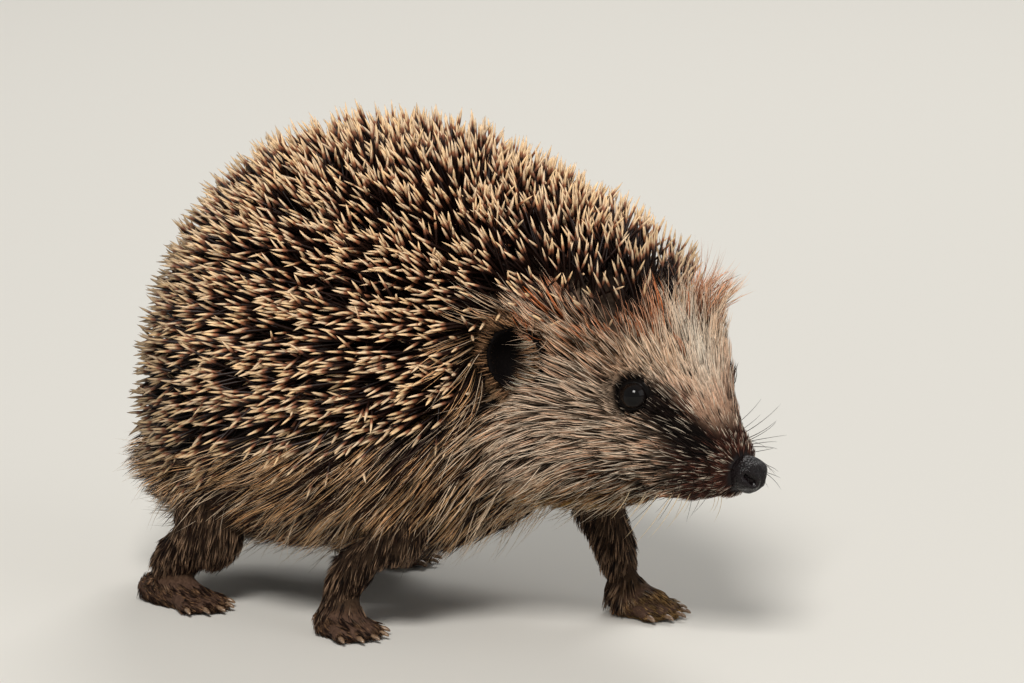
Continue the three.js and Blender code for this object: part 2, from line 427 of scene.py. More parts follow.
def ear_shell(side):
    part = bmesh.new()
    bmesh.ops.create_uvsphere(part, u_segments=48, v_segments=32, radius=1)
    for v in part.verts:
        x, y, z = v.co
        y *= side
        hollow = math.hypot(x / (1 - EAR_RIM / EAR_WIDE), z / (1 - EAR_RIM / EAR_TALL))
        if y < 0:
            y *= EAR_BACK
        if y > -0.1 and hollow < 1:
            y = 0.25 - EAR_HOLLOW * math.sqrt(1 - hollow**2)
        v.co = Vector((x * EAR_WIDE, side * y * EAR_THICK, z * EAR_TALL)) * MM
    part.transform(Matrix.Translation(EARS[side] * MM) @ ear_axes(side))
    return part


def add_toe(middle, claw):
    """Balls from the middle of a paw to the root of a claw, fuller at the last joint."""
    horn = np.array([v.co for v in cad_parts[claw].data.vertices]) / MM
    nail = horn[distance(horn, middle).argmin()]
    for share in np.linspace(TOE_SHARES[0], TOE_SHARES[-1], 9):
        girth = np.interp(share, TOE_SHARES, TOE_GIRTHS)
        place = blend(middle, nail, share) * [1, 1, 0] + UP * blend(2.6, 1.7, share)
        add_flesh(ball((girth, girth, girth), place, rows=7), "paw")


print("ear cups, mm:", 2 * EAR_WIDE, "wide and", 2 * EAR_TALL, "tall")

# %% [markdown]
# ### Joining the parts
# Legs, paws, tail and nose are the frame's own, drawn in a little. Balls fill each eye's socket,
# root each ear in the head, put a shoulder or thigh inside the trunk, and join the tail to the
# rump. Each part's faces are noted under its region's name.

# %% Parts of the flesh
LIMBS = [f"{limb}_{side}" for limb in ("foreleg", "hindleg") for side in ("left", "right")]
PAWS = [name.replace("leg", "paw") for name in LIMBS]
CLAWS = [f"{paw}_claw_{k}" for paw in PAWS for k in range(1, 6)]
LEG_DEPTH, PAW_DEPTH, TAIL_DEPTH, NOSE_DEPTH, EAR_DEPTH = 1.1, 0.1, 0.6, 0.7, 0.5  # mm
THIGH, SHOULDER = 8.5, 7  # mm, the half size of the ball where a leg meets the trunk

core = bmesh.new()
core.from_mesh(core_object.data)
core.verts.ensure_lookup_table()
for v, place in zip(core.verts, core_ball.points):
    v.co = Vector(place) * MM
bpy.data.objects.remove(core_object)
add_flesh(core, "trunk")
region_of_face = [-1] * len(region_of_face)  # the rays know theirs

for name in LIMBS:
    limb = copy_of(name)
    places = np.array([v.co for v in limb.verts]) / MM
    add_flesh(limb, "leg", -LEG_DEPTH)
    low, high = places.min(0), places.max(0)
    hip = places[places[:, 2] > high[2] - 6].mean(0)
    ankle = places[places[:, 2] < low[2] + 2.5].mean(0)
    girth = THIGH if name.startswith("hind") else SHOULDER
    add_flesh(ball((girth, girth * 0.8, girth * 1.5), hip * [1, 0.85, 1] + [0, 0, 2]), "leg")
    add_flesh(ball((4.4, 3.6, 5.2), ankle + [0, 0, -1]), "leg")
for name in PAWS:
    add_flesh(copy_of(name), "paw", -PAW_DEPTH)
    for claw in CLAWS:
        if claw.startswith(name):
            add_toe(centre_of(name), claw)
add_flesh(copy_of("tail"), "tail", -TAIL_DEPTH)
for radii, off in (((9, 3.5, 3.5), [9, 0, 7]), ((4.5, 2.8, 4.5), [3.5, 0, 3])):
    add_flesh(ball(radii, centre_of("tail") + off), "tail")  # joins it to the rump
add_flesh(copy_of("nose"), "nose", -NOSE_DEPTH)
for side in (1, -1):
    add_flesh(ear_shell(side), "ear")
    add_flesh(ball((4.6, 3.4, 5.4), EARS[side] - side * LEFT * 7), "ear")
    add_flesh(ball((6.5, 4.8, 6), EYES[side] - side * LEFT * 3.4 - AHEAD), "head")
print("flesh:", len(region_of_face), "triangles")

# %% [markdown]
# ### One surface
# The Remesh modifier draws one even surface round all the parts, as a shrink-wrap would, and small
# shells that it leaves in gaps inside are deleted. Faces round the eyes, ears and muzzle are then
# divided further, because lids and lips are finer than the rest, and the whole is smoothed.

# %% Remesh and refine
VOXEL = 0.84  # mm
SMOOTHINGS, OVERALL = 40, 5  # rounds on the upper legs, and how many of them cover the whole skin
flesh_tree = BVHTree.FromBMesh(flesh)
flesh_mesh = bpy.data.meshes.new("skin")
flesh.to_mesh(flesh_mesh)
flesh.free()
skin = new_object("skin", flesh_mesh)
remesh = skin.modifiers.new("one surface", "REMESH")
remesh.mode = "VOXEL"
remesh.voxel_size = VOXEL * MM
apply_modifiers(skin)


def keep_largest(bm):
    """Deletes the small closed shells that the remesh leaves in gaps between the parts."""
    waiting, largest = set(bm.verts), set()
    while waiting:
        shell, edge = set(), {waiting.pop()}
        while edge:
            shell |= edge
            edge = {e.other_vert(v) for v in edge for e in v.link_edges} - shell
        waiting -= shell
        largest = max(largest, shell, key=len)
    spare = [v for v in bm.verts if v not in largest]
    bmesh.ops.delete(bm, geom=spare, context="VERTS")
    return len(spare)


def refine(bm, place, reach, cuts):
    near = [e for e in bm.edges if all((v.co / MM - Vector(place)).length < reach for v in e.verts)]
    bmesh.ops.subdivide_edges(bm, edges=near, cuts=cuts, use_grid_fill=True)


bm = bmesh.new()
bm.from_mesh(skin.data)
print("points in spare shells:", keep_largest(bm))
refine(bm, head_point(9, 0, 47), reach=17, cuts=1)
for side in (1, -1):
    refine(bm, EYES[side] + side * LEFT * 1.5, reach=7.5, cuts=2)
    refine(bm, EARS[side], reach=9, cuts=1)
bmesh.ops.triangulate(bm, faces=bm.faces)
bm.to_mesh(skin.data)
bm.free()
body = Surface(skin.data)
hits = [flesh_tree.find_nearest(Vector(place) * MM)[2] for place in body.points]
region_here = np.array(region_of_face)[hits]
nearest_ray = nearest_of(core_ball.points, body.points)
region_here = np.where(region_here < 0, region[nearest_ray], region_here)


def is_in(*names):
    """Whether each point of the skin is in one of these regions."""
    return np.isin(region_here, [REGIONS.index(name) for name in names])


def belongs(*names, spread=5):
    """How far each point of the skin belongs to these regions, with soft edges."""
    return body.averaged(is_in(*names).astype(float), spread)


coat_depth = depth[nearest_ray]
for name, part_depth in (("leg", LEG_DEPTH), ("paw", PAW_DEPTH), ("tail", TAIL_DEPTH), ("ear", EAR_DEPTH)):
    coat_depth[is_in(name)] = part_depth
high_leg = belongs("leg", spread=12) * step(body.points[:, 2], 14, 22)
for k in range(SMOOTHINGS):
    loose = 0.5 if k < OVERALL else 0.5 * high_leg
    body.points += (body.averaged(body.points) - body.points) * np.reshape(loose, (-1, 1))
ahead, off_middle, height = on_head(body.points)
muzzle_end = step(ahead, NOSE_AHEAD - 9, NOSE_AHEAD - 2) * step(-height, -55, -49)
collar = bump(ahead, NOSE_AHEAD - 2.6, 2.2)  # the lip of skin behind the nose pad
from_axis = body.points - NOSE - (ahead - NOSE_AHEAD)[:, None] * AHEAD
body.points -= from_axis * (0.05 * muzzle_end - 0.08 * collar)[:, None]
print("one surface:", len(body.points), "points,", len(body.triangles), "triangles")
print("skin box, mm:", body.points.min(0).round(1), body.points.max(0).round(1))

# %% [markdown]
# ### Lids, lips and soles
# A hedgehog's lids are thin, black and close round the eye, which bulges a little. Points near an
# eye are moved along lines from its middle: inside an almond-shaped opening they sink behind the
# eyeball, round it they lie just over the ball, and further out they keep their place. The mouth
# is a shallow crease from under the nose to a corner below the eye, and the soles are flat.

# %% Shape the lids, the mouth and the soles
GAZE = {side: unit(0.42 * AHEAD + 0.88 * side * LEFT + 0.16 * UP) for side in (1, -1)}
LID_OPEN_WIDE, LID_OPEN_TALL = math.radians(69), math.radians(57)
LID_SLANT = math.radians(14)  # the front corner is the lower one
LID_LIFT, LID_SINK = 0.2, 1.1  # mm of rim over the eyeball, and of skin behind its surface
LID_ROUNDNESS = 1.55  # 2 makes the opening an ellipse, and less gives it corners
LID_SOFTNESS = 0.35  # mm over which the lid turns into the face
MOUTH_CORNER, MOUTH_HEIGHT = 0.0, 38.4  # mm ahead of the eyes and above the floor
MOUTH_DEPTH = 0.7  # mm
SOLE_FROM, SOLE_AT = 0.35, 0.02  # mm above the floor


def eye_angles(points, side):
    """Distance and way from an eye's middle, angle off its gaze, and how far that is past the lids' rim."""
    off = points - EYES[side]
    far = np.linalg.norm(off, axis=1)
    toward = off / np.maximum(far, 1e-6)[:, None]
    angle = np.arccos(np.clip(toward @ GAZE[side], -1, 1))
    frontward = unit(np.cross(UP, GAZE[side])) * -side
    upward = unit(np.cross(frontward, GAZE[side])) * side
    long_axis = frontward * math.cos(LID_SLANT) - upward * math.sin(LID_SLANT)
    short_axis = upward * math.cos(LID_SLANT) + frontward * math.sin(LID_SLANT)
    flat = np.abs(unit(np.stack([toward @ long_axis, toward @ short_axis], 1)))
    shares = (flat / [LID_OPEN_WIDE, LID_OPEN_TALL]) ** LID_ROUNDNESS
    return far, toward, angle, angle - shares.sum(1) ** (-1 / LID_ROUNDNESS)


lid_closeness = np.zeros(len(body.points))
for side in (1, -1):
    far, toward, angle, past_rim = eye_angles(body.points, side)
    rim = EYE_RADIUS + LID_LIFT * step(past_rim, -0.16, 0.02) - LID_SINK * step(-past_rim, 0.02, 0.2)
    above_rim = LID_SOFTNESS * np.logaddexp(0, (far - rim) / LID_SOFTNESS)
    hugging = np.where(past_rim < 0, rim, rim + above_rim)
    share = step(-far, -8.5, -6.5) * step(-angle, -1.75, -1.45)
    moved = EYES[side] + toward * hugging[:, None]
    body.points = mixed(body.points, moved, share)
    lid_closeness = np.maximum(lid_closeness, share * step(-past_rim, -0.34, -0.08))

ahead, off_middle, height = on_head(body.points)
lip_line = MOUTH_HEIGHT + 0.9 * step(ahead, 6, 0) - 0.4 * bump(ahead, 12, 4)
in_mouth = bump(height, lip_line, 0.55) * step(ahead, MOUTH_CORNER, MOUTH_CORNER + 4)
in_mouth *= step(-ahead, -NOSE_AHEAD + 1, -NOSE_AHEAD + 4) * is_in("head", "jaw", "nose")
body.points -= body.normals() * (MOUTH_DEPTH * in_mouth)[:, None]
body.points[body.points[:, 2] < SOLE_FROM, 2] = SOLE_AT
print("points in the lids:", int((lid_closeness > 0.5).sum()))

# %% [markdown]
# ### Unwrapping the skin
# Colours that are baked need a flat map. Smart Project lays the skin flat in islands, without any
# seams marked by hand. Each hair will have its own place on its piece's map where its root is on
# this one, so that neighbours on the body are neighbours there too.

# %% Unwrap
body_mesh = skin.data
body_mesh.vertices.foreach_set("co", (body.points * MM).ravel())
body_mesh.update()
body_mesh.uv_layers.new(name="OFBake")
bpy.context.view_layer.objects.active = skin
skin.select_set(True)
bpy.ops.object.mode_set(mode="EDIT")
bpy.ops.mesh.select_all(action="SELECT")
bpy.ops.uv.smart_project(angle_limit=math.radians(66), island_margin=0.002)
bpy.ops.object.mode_set(mode="OBJECT")
body.uv = read(body_mesh.uv_layers["OFBake"].data, "uv", 2).reshape(-1, 3, 2)
body.facing = unit(body.averaged(body.normals(), 3))
spread = np.ptp(body.uv.reshape(-1, 2), axis=0)
print("unwrapped:", len(body.triangles), "triangles over", spread.round(2), "of the map")

# %% [markdown]
# ## Colours
# Colours are named here once, as they look on a screen, and turned into the values that shaders
# use.


# %% Palette
def rgb(red, green, blue):
    """A colour as seen on a screen, from 0 to 255, in the linear values that shaders use."""
    seen = np.array([red, green, blue]) / 255
    return np.where(seen < 0.04045, seen / 12.92, ((seen + 0.055) / 1.055) ** 2.4)


FOREHEAD, BLAZE, BRIDGE = rgb(250, 218, 186), rgb(254, 242, 224), rgb(196, 162, 138)
# The low cheek and chin colours are brown, darkened with painted shade under the jaw.
TEMPLE, CHEEK, SHADED_LOW_CHEEK = rgb(208, 162, 126), rgb(250, 220, 192), rgb(78, 56, 42)
SHADED_CHIN, THROAT, MUZZLE = rgb(46, 33, 24), rgb(132, 104, 62), rgb(84, 52, 42)
# The darkest ear colour is painted shade, for the ears' hollows.
MASK, EAR_BROWN, EAR_HOLLOW_SHADE = rgb(22, 14, 11), rgb(128, 96, 70), rgb(4, 3, 3)
FLANK, BELLY, LEG_HAIR = rgb(248, 200, 148), rgb(104, 78, 54), rgb(128, 104, 84)
PALE, SIENNA, RUST = rgb(246, 230, 208), rgb(158, 98, 56), rgb(182, 100, 50)
# The quill bed colour is painted shade: the skin under the quills, near-black as their shade.
DARK_HAIR, PAW_SKIN, QUILL_BED_SHADE = rgb(34, 20, 14), rgb(104, 82, 70), rgb(26, 17, 13)
print("flank hair in linear values:", FLANK.round(3))

# %% [markdown]
# ### Markings
# The same function colours the skin and the coat, from places on the body alone: a dark patch
# round each eye that runs down to a dark muzzle, a pale blaze on the brow, tan cheeks, golden
# flanks, an olive throat and grey-brown legs. Painted shade darkens the low cheeks and the chin,
# under the jaw, and makes the ears' hollows near-black. It lays one colour over another, each with
# a share for every place. Other functions say where single hairs turn rust-brown, under the hood of
# quills.


# %% Colours from places
# the ends of two stripes: mm ahead of the eyes, off the middle and above the floor
MASK_STRIPE = (4.6, 12.8, 56.8), (14, 8.4, 48)
TEMPLE_STRIPE = (-18, 22, 66), (-4, 16, 67)
BLAZE_WIDTH = 3.6  # mm to each side


def to_segment(points, a, b):
    """Distance from a line between two places, and how far along it the nearest place is."""
    a, b = np.array(a), np.array(b)
    along = np.clip(((points - a) @ (b - a)) / ((b - a) @ (b - a)), 0, 1)
    return np.linalg.norm(points - a - along[:, None] * (b - a), axis=1), along


def from_stripe(points, stripe):
    """Distance from a stripe that both sides of the head have."""
    ahead, off_middle, height = on_head(points)
    return to_segment(np.stack([ahead, np.abs(off_middle), height], 1), *stripe)[0]


def dark_muzzle(points):
    """How far each place lies in the dark of the muzzle, and in the darker mask from eye to lip."""
    ahead, off_middle, height = on_head(points)
    bridge_half = np.interp(ahead, [4, 12, 17], [9.0, 6.6, 3.6])
    bridge = step(bridge_half - np.abs(off_middle), -1.2, 1.2) * step(height, 49, 53) * step(-ahead, -18, -15)
    muzzle = step(ahead, 5, 10) * step(-height, -64, -58) * (1 - bridge)
    round_eye = step(-from_nearer(points, EYES), -5.4, -4.2)
    return muzzle, np.maximum(step(-from_stripe(points, MASK_STRIPE), -5.4, -2.6), round_eye)


def ear_tuft(points):
    """The pale tuft that rises in front of each ear and over it."""
    places = {side: EARS[side] + 8 * AHEAD + 9 * UP - side * 3 * LEFT for side in (1, -1)}
    return bump(from_nearer(points, places), 0, 8)


def rusty(points):
    """How many locks are rust-brown: those under the hood of quills."""
    ahead, off_middle, height = on_head(points)
    share = 0.9 * step(height, 64, 71) * step(ahead, -26, -16) * (1 - 0.7 * bump(off_middle, 0, BLAZE_WIDTH))
    return share * (1 - 0.7 * ear_tuft(points))


def markings(points, leg, paw, ear):
    """Colour of the hair at each place, given how far it belongs to a leg, a paw or an ear."""
    ahead, off_middle, height = on_head(points)
    muzzle, mask = dark_muzzle(points)
    layers = (
        (BELLY, step(-height, -30, -18)),
        (THROAT, step(ahead, -34, -22) * step(-height, -43, -36)),
        (CHEEK, step(ahead, -34, -20) * step(height, 36, 43)),
        # painted shade under the jaw darkens the low cheek's and the chin's brown
        (SHADED_LOW_CHEEK, step(ahead, -16, -6) * step(-ahead, -6, 0) * bump(height, 42, 3.2)),
        (SHADED_CHIN, step(ahead, -8, 2) * step(-height, -42, -39)),
        (TEMPLE, step(-from_stripe(points, TEMPLE_STRIPE), -8, -4)),
        (FOREHEAD, step(ahead, -9, 2) * step(height, 59, 66)),
        (FOREHEAD, 0.8 * ear_tuft(points)),
        (BRIDGE, step(ahead, 3, 9) * step(-height, -62, -56)),
        (BLAZE, bump(off_middle, 0, BLAZE_WIDTH) * step(height, 56, 63) * step(ahead, 0, 5)),
        (MUZZLE, muzzle),
        (MASK, mask),
        (LEG_HAIR, leg),
        (PAW_SKIN, paw),
        (EAR_BROWN, ear),
        # painted shade: each ear's hollow is near-black
        (EAR_HOLLOW_SHADE, ear_hole(points)),
    )
    colour = FLANK
    for over, share in layers:
        colour = mixed(colour, over, share)
    return colour


legs, paws = belongs("leg", spread=10), belongs("paw")
ears, tail = belongs("ear", spread=2), belongs("tail")
quill_share = belongs("trunk", "neck") * step(above_quill_line(body.points), -2, 3)
quill_share *= step(from_nearer(body.points, EARS), 8.5, 11) * (1 - 0.35 * ear_tuft(body.points))
print("quilled share of the skin's points:", round(float((quill_share > 0.5).mean()), 2))

# %% [markdown]
# ## Setting out hairs
# Each quill or hair is a thin closed tube with a pointed tip. Thousands of them are joined in one
# mesh from arrays, because the export drops hair systems. Roots are dealt out over the skin by
# area, and each carries what it needs to know of the skin there. Some functions thin the roots
# out, turn directions into the skin or off it, and deal hairs to locks.


# %% Roots
FIELDS = {"depth": coat_depth, "leg": legs, "paw": paws, "ear": ears, "quills": quill_share, "tail": tail}
CELLS_AROUND = [(a, b, c) for a in (-1, 0, 1) for b in (-1, 0, 1) for c in (-1, 0, 1)]


def scatter(count, weight):
    """Random roots on the skin, as many on each triangle as its area and its points' weight ask for."""
    odds = body.areas() * weight[body.triangles].mean(1)
    face = dice.choice(len(odds), count, p=odds / odds.sum())
    u, v = dice.random((2, count))
    fold = u + v > 1
    u, v = np.where(fold, 1 - u, u), np.where(fold, 1 - v, v)
    share = np.stack([1 - u - v, u, v], 1)

    def at(values):
        values = values.reshape(len(body.points), -1)[body.triangles[face]]
        return (values * share[:, :, None]).sum(1)

    roots = {name: at(values)[:, 0] for name, values in FIELDS.items()}
    roots["point"] = at(body.points)
    roots["normal"] = unit(at(body.facing))
    roots["uv"] = (body.uv[face] * share[:, :, None]).sum(1)
    return roots


def chosen(roots, keep):
    return {name: values[keep] for name, values in roots.items()}


def spaced(roots, gap):
    """Drops each root that is nearer than gap to one kept before it."""
    taken, keep = {}, []
    for i, place in enumerate(roots["point"]):
        x, y, z = (place // gap).astype(int).tolist()
        near = [other for a, b, c in CELLS_AROUND for other in taken.get((x + a, y + b, z + c), ())]
        if not near or ((np.array(near) - place) ** 2).sum(1).min() > gap * gap:
            taken.setdefault((x, y, z), []).append(place)
            keep.append(i)
    return chosen(roots, np.array(keep))


def along_skin(direction, normal):
    """The part of a direction that lies in the skin."""
    direction = np.broadcast_to(direction, normal.shape)
    return unit(direction - (direction * normal).sum(1, keepdims=True) * normal)


def tilted(lie, normal, angle):
    """A direction that stands off the skin by an angle, over the lie of the coat."""
    return unit(lie * np.cos(angle)[:, None] + normal * np.sin(angle)[:, None])


def shaken(direction, amount):
    return unit(direction + dice.normal(0, 1, direction.shape) * np.reshape(amount, (-1, 1)))


def locks_of(roots, gap):
    """Deals hairs to locks a gap apart: each hair's lock, and the place of each lock."""
    some = dice.permutation(len(roots["point"]))[: len(roots["point"]) // 2]
    heads = spaced(chosen(roots, some), gap)["point"]
    return nearest_of(heads, roots["point"]), heads


print("skin area, cm2:", round(body.areas().sum() / 100, 1))

# %% [markdown]
# ### A hair's own patch
# On a baked map, a hair that shared its place with another would take that one's colours. So each
# has a small patch to itself, at its root's place on the unwrap or, where another hair has that
# already, in the nearest free cell of a grid.

# %% Patches on the unwrap
PATCH, CELL = 0.003, 1 / 256  # a hair's place on the unwrap, and the grid that keeps places apart
CELLS_AWAY = range(-24, 25)  # how far a patch may be moved
NEARBY = sorted(((a, b) for a in CELLS_AWAY for b in CELLS_AWAY), key=lambda c: c[0] ** 2 + c[1] ** 2)


def own_patches(uv):
    """Moves each root's place on the unwrap to the nearest free cell of a grid."""
    taken = set()
    cells = np.clip(uv // CELL, 1, 1 / CELL - 2).astype(int)
    for i, (x, y) in enumerate(cells.tolist()):
        for a, b in NEARBY:
            if (x + a, y + b) not in taken:
                taken.add((x + a, y + b))
                cells[i] = x + a, y + b
                break
    return cells * CELL


print("places to try for a hair's patch:", len(NEARBY))

# %% [markdown]
# ### Hairs as one mesh
# A hair is given by points along its middle line, its thickness at each and its colour there.
# Rings of three or four corners round the line are joined by faces, the last ring to the tip, and
# the root is closed. All hairs of a piece have the same corners, so one pattern of faces serves.

# %% Tubes from middle lines
ROOT_END = 0.2  # rows of a patch that the root's end takes


def tube_pattern(rings, corners):
    """The faces of one tube by its points' numbers, and each face's corners on its patch."""
    faces, places = [], []
    for k in range(rings):
        this, following = k * corners, (k + 1) * corners  # each ring's first point; the tip's is the last
        for j in range(corners):
            beside = (j + 1) % corners
            if k < rings - 1:
                faces.append([this + j, this + beside, following + beside, following + j])
                places += [(j, k), (j + 1, k), (j + 1, k + 1), (j, k + 1)]
            else:
                faces.append([this + j, this + beside, following])
                places += [(j, k), (j + 1, k), (j + 0.5, rings)]
    faces.append(list(range(corners))[::-1])
    places += [(j, -ROOT_END * (j % 2)) for j in range(corners)]
    return faces, np.array(places) / [corners, rings] * PATCH


def tubes(name, lines, radii, colours, uv, corners=3):
    """A piece of joined hairs: lines end at the tip, and radii and colours are given at each point."""
    count, rings = len(lines), lines.shape[1] - 1
    forward = unit(np.gradient(lines, axis=1))[:, :rings]
    aside = dice.normal(0, 1, (count, 1, 3))
    aside -= (aside * forward[:, :1]).sum(2, keepdims=True) * forward[:, :1]
    u = unit(aside - (aside * forward).sum(2, keepdims=True) * forward)
    v = np.cross(forward, u)
    turn = np.arange(corners) * 2 * math.pi / corners
    spokes = u[:, :, None] * np.cos(turn)[:, None] + v[:, :, None] * np.sin(turn)[:, None]
    loops = lines[:, :rings, None] + spokes * radii[:, :rings, None, None]
    points = np.concatenate([loops.reshape(count, -1, 3), lines[:, -1:]], 1)

    faces, places = tube_pattern(rings, corners)
    pattern = np.concatenate(faces)
    starts = np.cumsum([0] + [len(face) for face in faces])
    mesh = bpy.data.meshes.new(name)
    per_hair = points.shape[1]
    mesh.vertices.add(count * per_hair)
    mesh.vertices.foreach_set("co", (points * MM).ravel())
    mesh.loops.add(count * len(pattern))
    shift = np.arange(count)[:, None]
    mesh.loops.foreach_set("vertex_index", (pattern + shift * per_hair).ravel())
    mesh.polygons.add(count * len(faces))
    mesh.polygons.foreach_set("loop_start", (starts[:-1] + shift * len(pattern)).ravel())
    mesh.update(calc_edges=True)
    mesh.shade_smooth()
    of_ring = np.append(np.repeat(np.arange(rings), corners), rings)
    set_tint(mesh, colours[:, of_ring])
    set_values(mesh, "from_tip", np.linalg.norm(lines - lines[:, -1:], axis=2)[:, of_ring])
    patches = own_patches(uv)[:, None] + places + CELL / 8
    mesh.uv_layers.new(name="OFBake").data.foreach_set("uv", patches.ravel())
    triangles = count * (2 * corners * (rings - 1) + corners + corners - 2)
    print(f"{name}: {count} hairs, {triangles} triangles")
    return new_object(name, mesh)


def dealt(name, pieces, lines, radii, colours, uv, corners=3):
    """Deals hairs in turn to several pieces, so that none is too large."""
    deal = np.arange(len(uv)) % pieces
    hands = [deal == k for k in range(pieces)]
    return [
        tubes(f"{name}_{k + 1}", lines[hand], radii[hand], colours[hand], uv[hand], corners)
        for k, hand in enumerate(hands)
    ]


def middle_lines(root, first, last, length, times):
    """Points along each hair, which leaves the skin along first and ends along last."""
    t = times[None, :, None]
    return root[:, None] + length[:, None, None] * (first[:, None] * t + (last - first)[:, None] * t * t / 2)


print("corners of a quill's face pattern:", len(tube_pattern(5, 4)[1]))

# %% [markdown]
# ## Quills
# A hedgehog's quills are stiff, thickest two thirds of the way up and drawn out to a fine point.
# Most of each is dark, with a cream band below a brown tip; below the band it darkens to the root,
# partly its own dark band and partly painted shade deep in the coat. They lean back over the body,
# more on the flanks than on the crest, but each its own way, so that they criss-cross. Each is as
# long as the room from its root to the frame's outline, so that together they give that outline.
# Those low down, on the rump and under the hood are painted darker, as shade.

# %% Set out the quills
QUILL_TRIES, QUILL_GAP = 52000, 0.95  # roots to choose from, and mm between those kept
CLUMP_GAP = 3.4  # mm between the clumps that quills lean together in
QUILL_TIMES = np.array([0.0, 0.3, 0.6, 0.78, 0.91, 1.0])  # shares of the length, from root to tip
QUILL_GIRTH = np.array([0.2, 0.28, 0.35, 0.375, 0.25, 0.0])  # mm
QUILL_PIECES = 2
QUILL_SHORTEST, QUILL_LONGEST = 7, 16  # mm
SWEPT, UPRIGHT = math.radians(54), math.radians(22)  # off the skin's normal, on the flanks and on the crest
SHOULDER_RISE = math.radians(14)  # how much less they lean on the shoulder
WAVES = 14  # in a drift


def drift(points, wavelength):
    """A random vector at each place that changes slowly, over about a wavelength in mm."""
    ways = unit(dice.normal(0, 1, (WAVES, 3))) * dice.uniform(0.7, 1.4, (WAVES, 1)) * 2 * math.pi / wavelength
    pushes = dice.normal(0, 1, (WAVES, 3)) * math.sqrt(2 / WAVES)
    return np.sin(points @ ways.T + dice.uniform(0, 2 * math.pi, WAVES)) @ pushes


def quill_ways(points, normal):
    """Back along the body, falling a little low on the flank, and up over the brow."""
    fall = 0.62 * step(-points[:, 2], -74, -40) - 0.25 * step(-normal[:, 0], 0.2, 0.8)
    sweep = BACK - UP * fall[:, None]
    sweep = mixed(sweep, BACK * 0.35 + UP, step(points[:, 0], 20, 40))
    sweep -= (sweep * normal).sum(1, keepdims=True) * normal
    lean = blend(SWEPT, UPRIGHT, step(normal[:, 2], 0.1, 0.85))
    lean -= SHOULDER_RISE * bump(points[:, 0], 22, 16) * step(-normal[:, 2], -0.85, -0.4)
    return unit(normal * np.cos(lean)[:, None] + sweep * np.sin(lean)[:, None])


quills = spaced(scatter(QUILL_TRIES, quill_share), QUILL_GAP)
x, _, z = quills["point"].T
thin_out = 0.56 * step(x, 20, 44)  # fewer over the brow, where they are seen side on
thin_out += 0.3 * step(-x, 42, 64)
thin_out += 0.2 * step(-z, -62, -46)
quills = chosen(quills, (dice.random(len(thin_out)) > thin_out) & (quills["quills"] > 0.5))
place, normal = quills["point"], quills["normal"]
x, _, z = place.T
clump, clump_places = locks_of(quills, CLUMP_GAP)
together = (clump_places[clump] - place) / CLUMP_GAP
first = quill_ways(place, normal) + 0.3 * together + 0.2 * drift(place, 9.0)
first = unit(first + dice.normal(0, 0.27, first.shape))
quill_roots = place - normal * 0.5
length = np.clip(room(quill_roots, first), QUILL_SHORTEST, QUILL_LONGEST)
length *= dice.triangular(0.74, 1.03, 1.16, len(place))
last = unit(first + 0.12 * along_skin(BACK, normal) + dice.normal(0, 0.04, first.shape))
lines = middle_lines(quill_roots, first, last, length, QUILL_TIMES)
girth = QUILL_GIRTH * dice.uniform(0.82, 1.08, (len(place), 1))
girth *= 1 - 0.2 * step(x, 22, 44)[:, None]
shade = dice.triangular(0.75, 1.1, 1.2, (len(place), 1, 1))
# Painted shade: each quill's random tone is dimmed on the rump, low on the flank and under the hood.
for darker in (0.6 * step(-x, 30, 58), 0.2 * step(-z, -64, -46), 0.3 * step(x, 36, 50)):
    shade *= 1 - darker[:, None, None]
warmth = dice.uniform(-1, 1, (len(place), 1, 1))
colours = np.clip(shade * (1 + warmth * [0.04, 0, -0.1]), 0, 1.2) * np.ones((1, len(QUILL_TIMES), 1))
quill_pieces = dealt("quills", QUILL_PIECES, lines, girth, colours, quills["uv"], corners=4)
print("quill lengths, mm:", np.percentile(length, [5, 50, 95]).round(1))

# %% [markdown]
# ## Fur
# Hair covers what the quills don't: short and sleek on the muzzle, longer over the cheeks, fluffy
# on the brow, and long wavy locks from cheek to rump that hang like a skirt. How it lies, how long
# it is and how much of it is dark are functions of the place on the body. Neighbouring hairs
# gather into strands, and strands lean together into locks, as greasy hair does, with dark gaps
# between them. A third to a half of the strands are dark.


# %% The lie, length and tone of the hair
HEAD_BORDER = (-34, -20)  # mm ahead of the eyes: where the head's hair takes over from the neck's
HAIR_ABOVE_FLOOR = 0.3  # mm


def hair_lie(points, normal, leg, paw, ear):
    """The way hair lies: away from the nose over the head, back and down along the flanks."""
    ahead, off_middle, height = on_head(points)
    falling = (0.1 + 0.8 * step(-ahead, 0, 30)) * step(-height, -64, -46)
    lie = unit(points - NOSE) - UP * falling[:, None]
    rising = step(height, 60, 72)
    lie = lie + UP * (0.9 * rising * step(ahead, -26, -6))[:, None]
    fall = np.interp(points[:, 0], [-76, -45, -10, 20], [0.16, 0.3, 0.58, 1.0])
    fall *= 1 + 1.2 * step(-height, -38, -24)
    flank = BACK - UP * fall[:, None]
    lie = mixed(lie, flank, step(-ahead, 16, 34) * (1 - rising))
    forward = AHEAD * 0.5 + UP * blend(-0.5, 0.6, step(height, 54, 68))[:, None]
    lie = mixed(lie, forward, 0.75 * ruffled(points))
    lie = mixed(lie, BACK * 0.25 - UP, leg)
    lie = mixed(lie, -BACK - UP * 0.4, paw)
    nearer_ear = np.where((off_middle > 0)[:, None], EARS[1], EARS[-1])
    lie = mixed(lie, unit(points - nearer_ear) + 0.6 * BACK, np.clip(ear * 1.5, 0, 1))
    return along_skin(lie, normal)


def brow(points):
    """The fluffy hair between the eyes and the quills."""
    ahead, _, height = on_head(points)
    return step(height, 60, 72) * step(ahead, -14, -3)


def ruffled(points):
    """The left brow and temple, where hair stands off the head."""
    ahead, off_middle, height = on_head(points)
    return step(off_middle, 1, 7) * bump(ahead, -2, 10) * step(height, 49, 56)


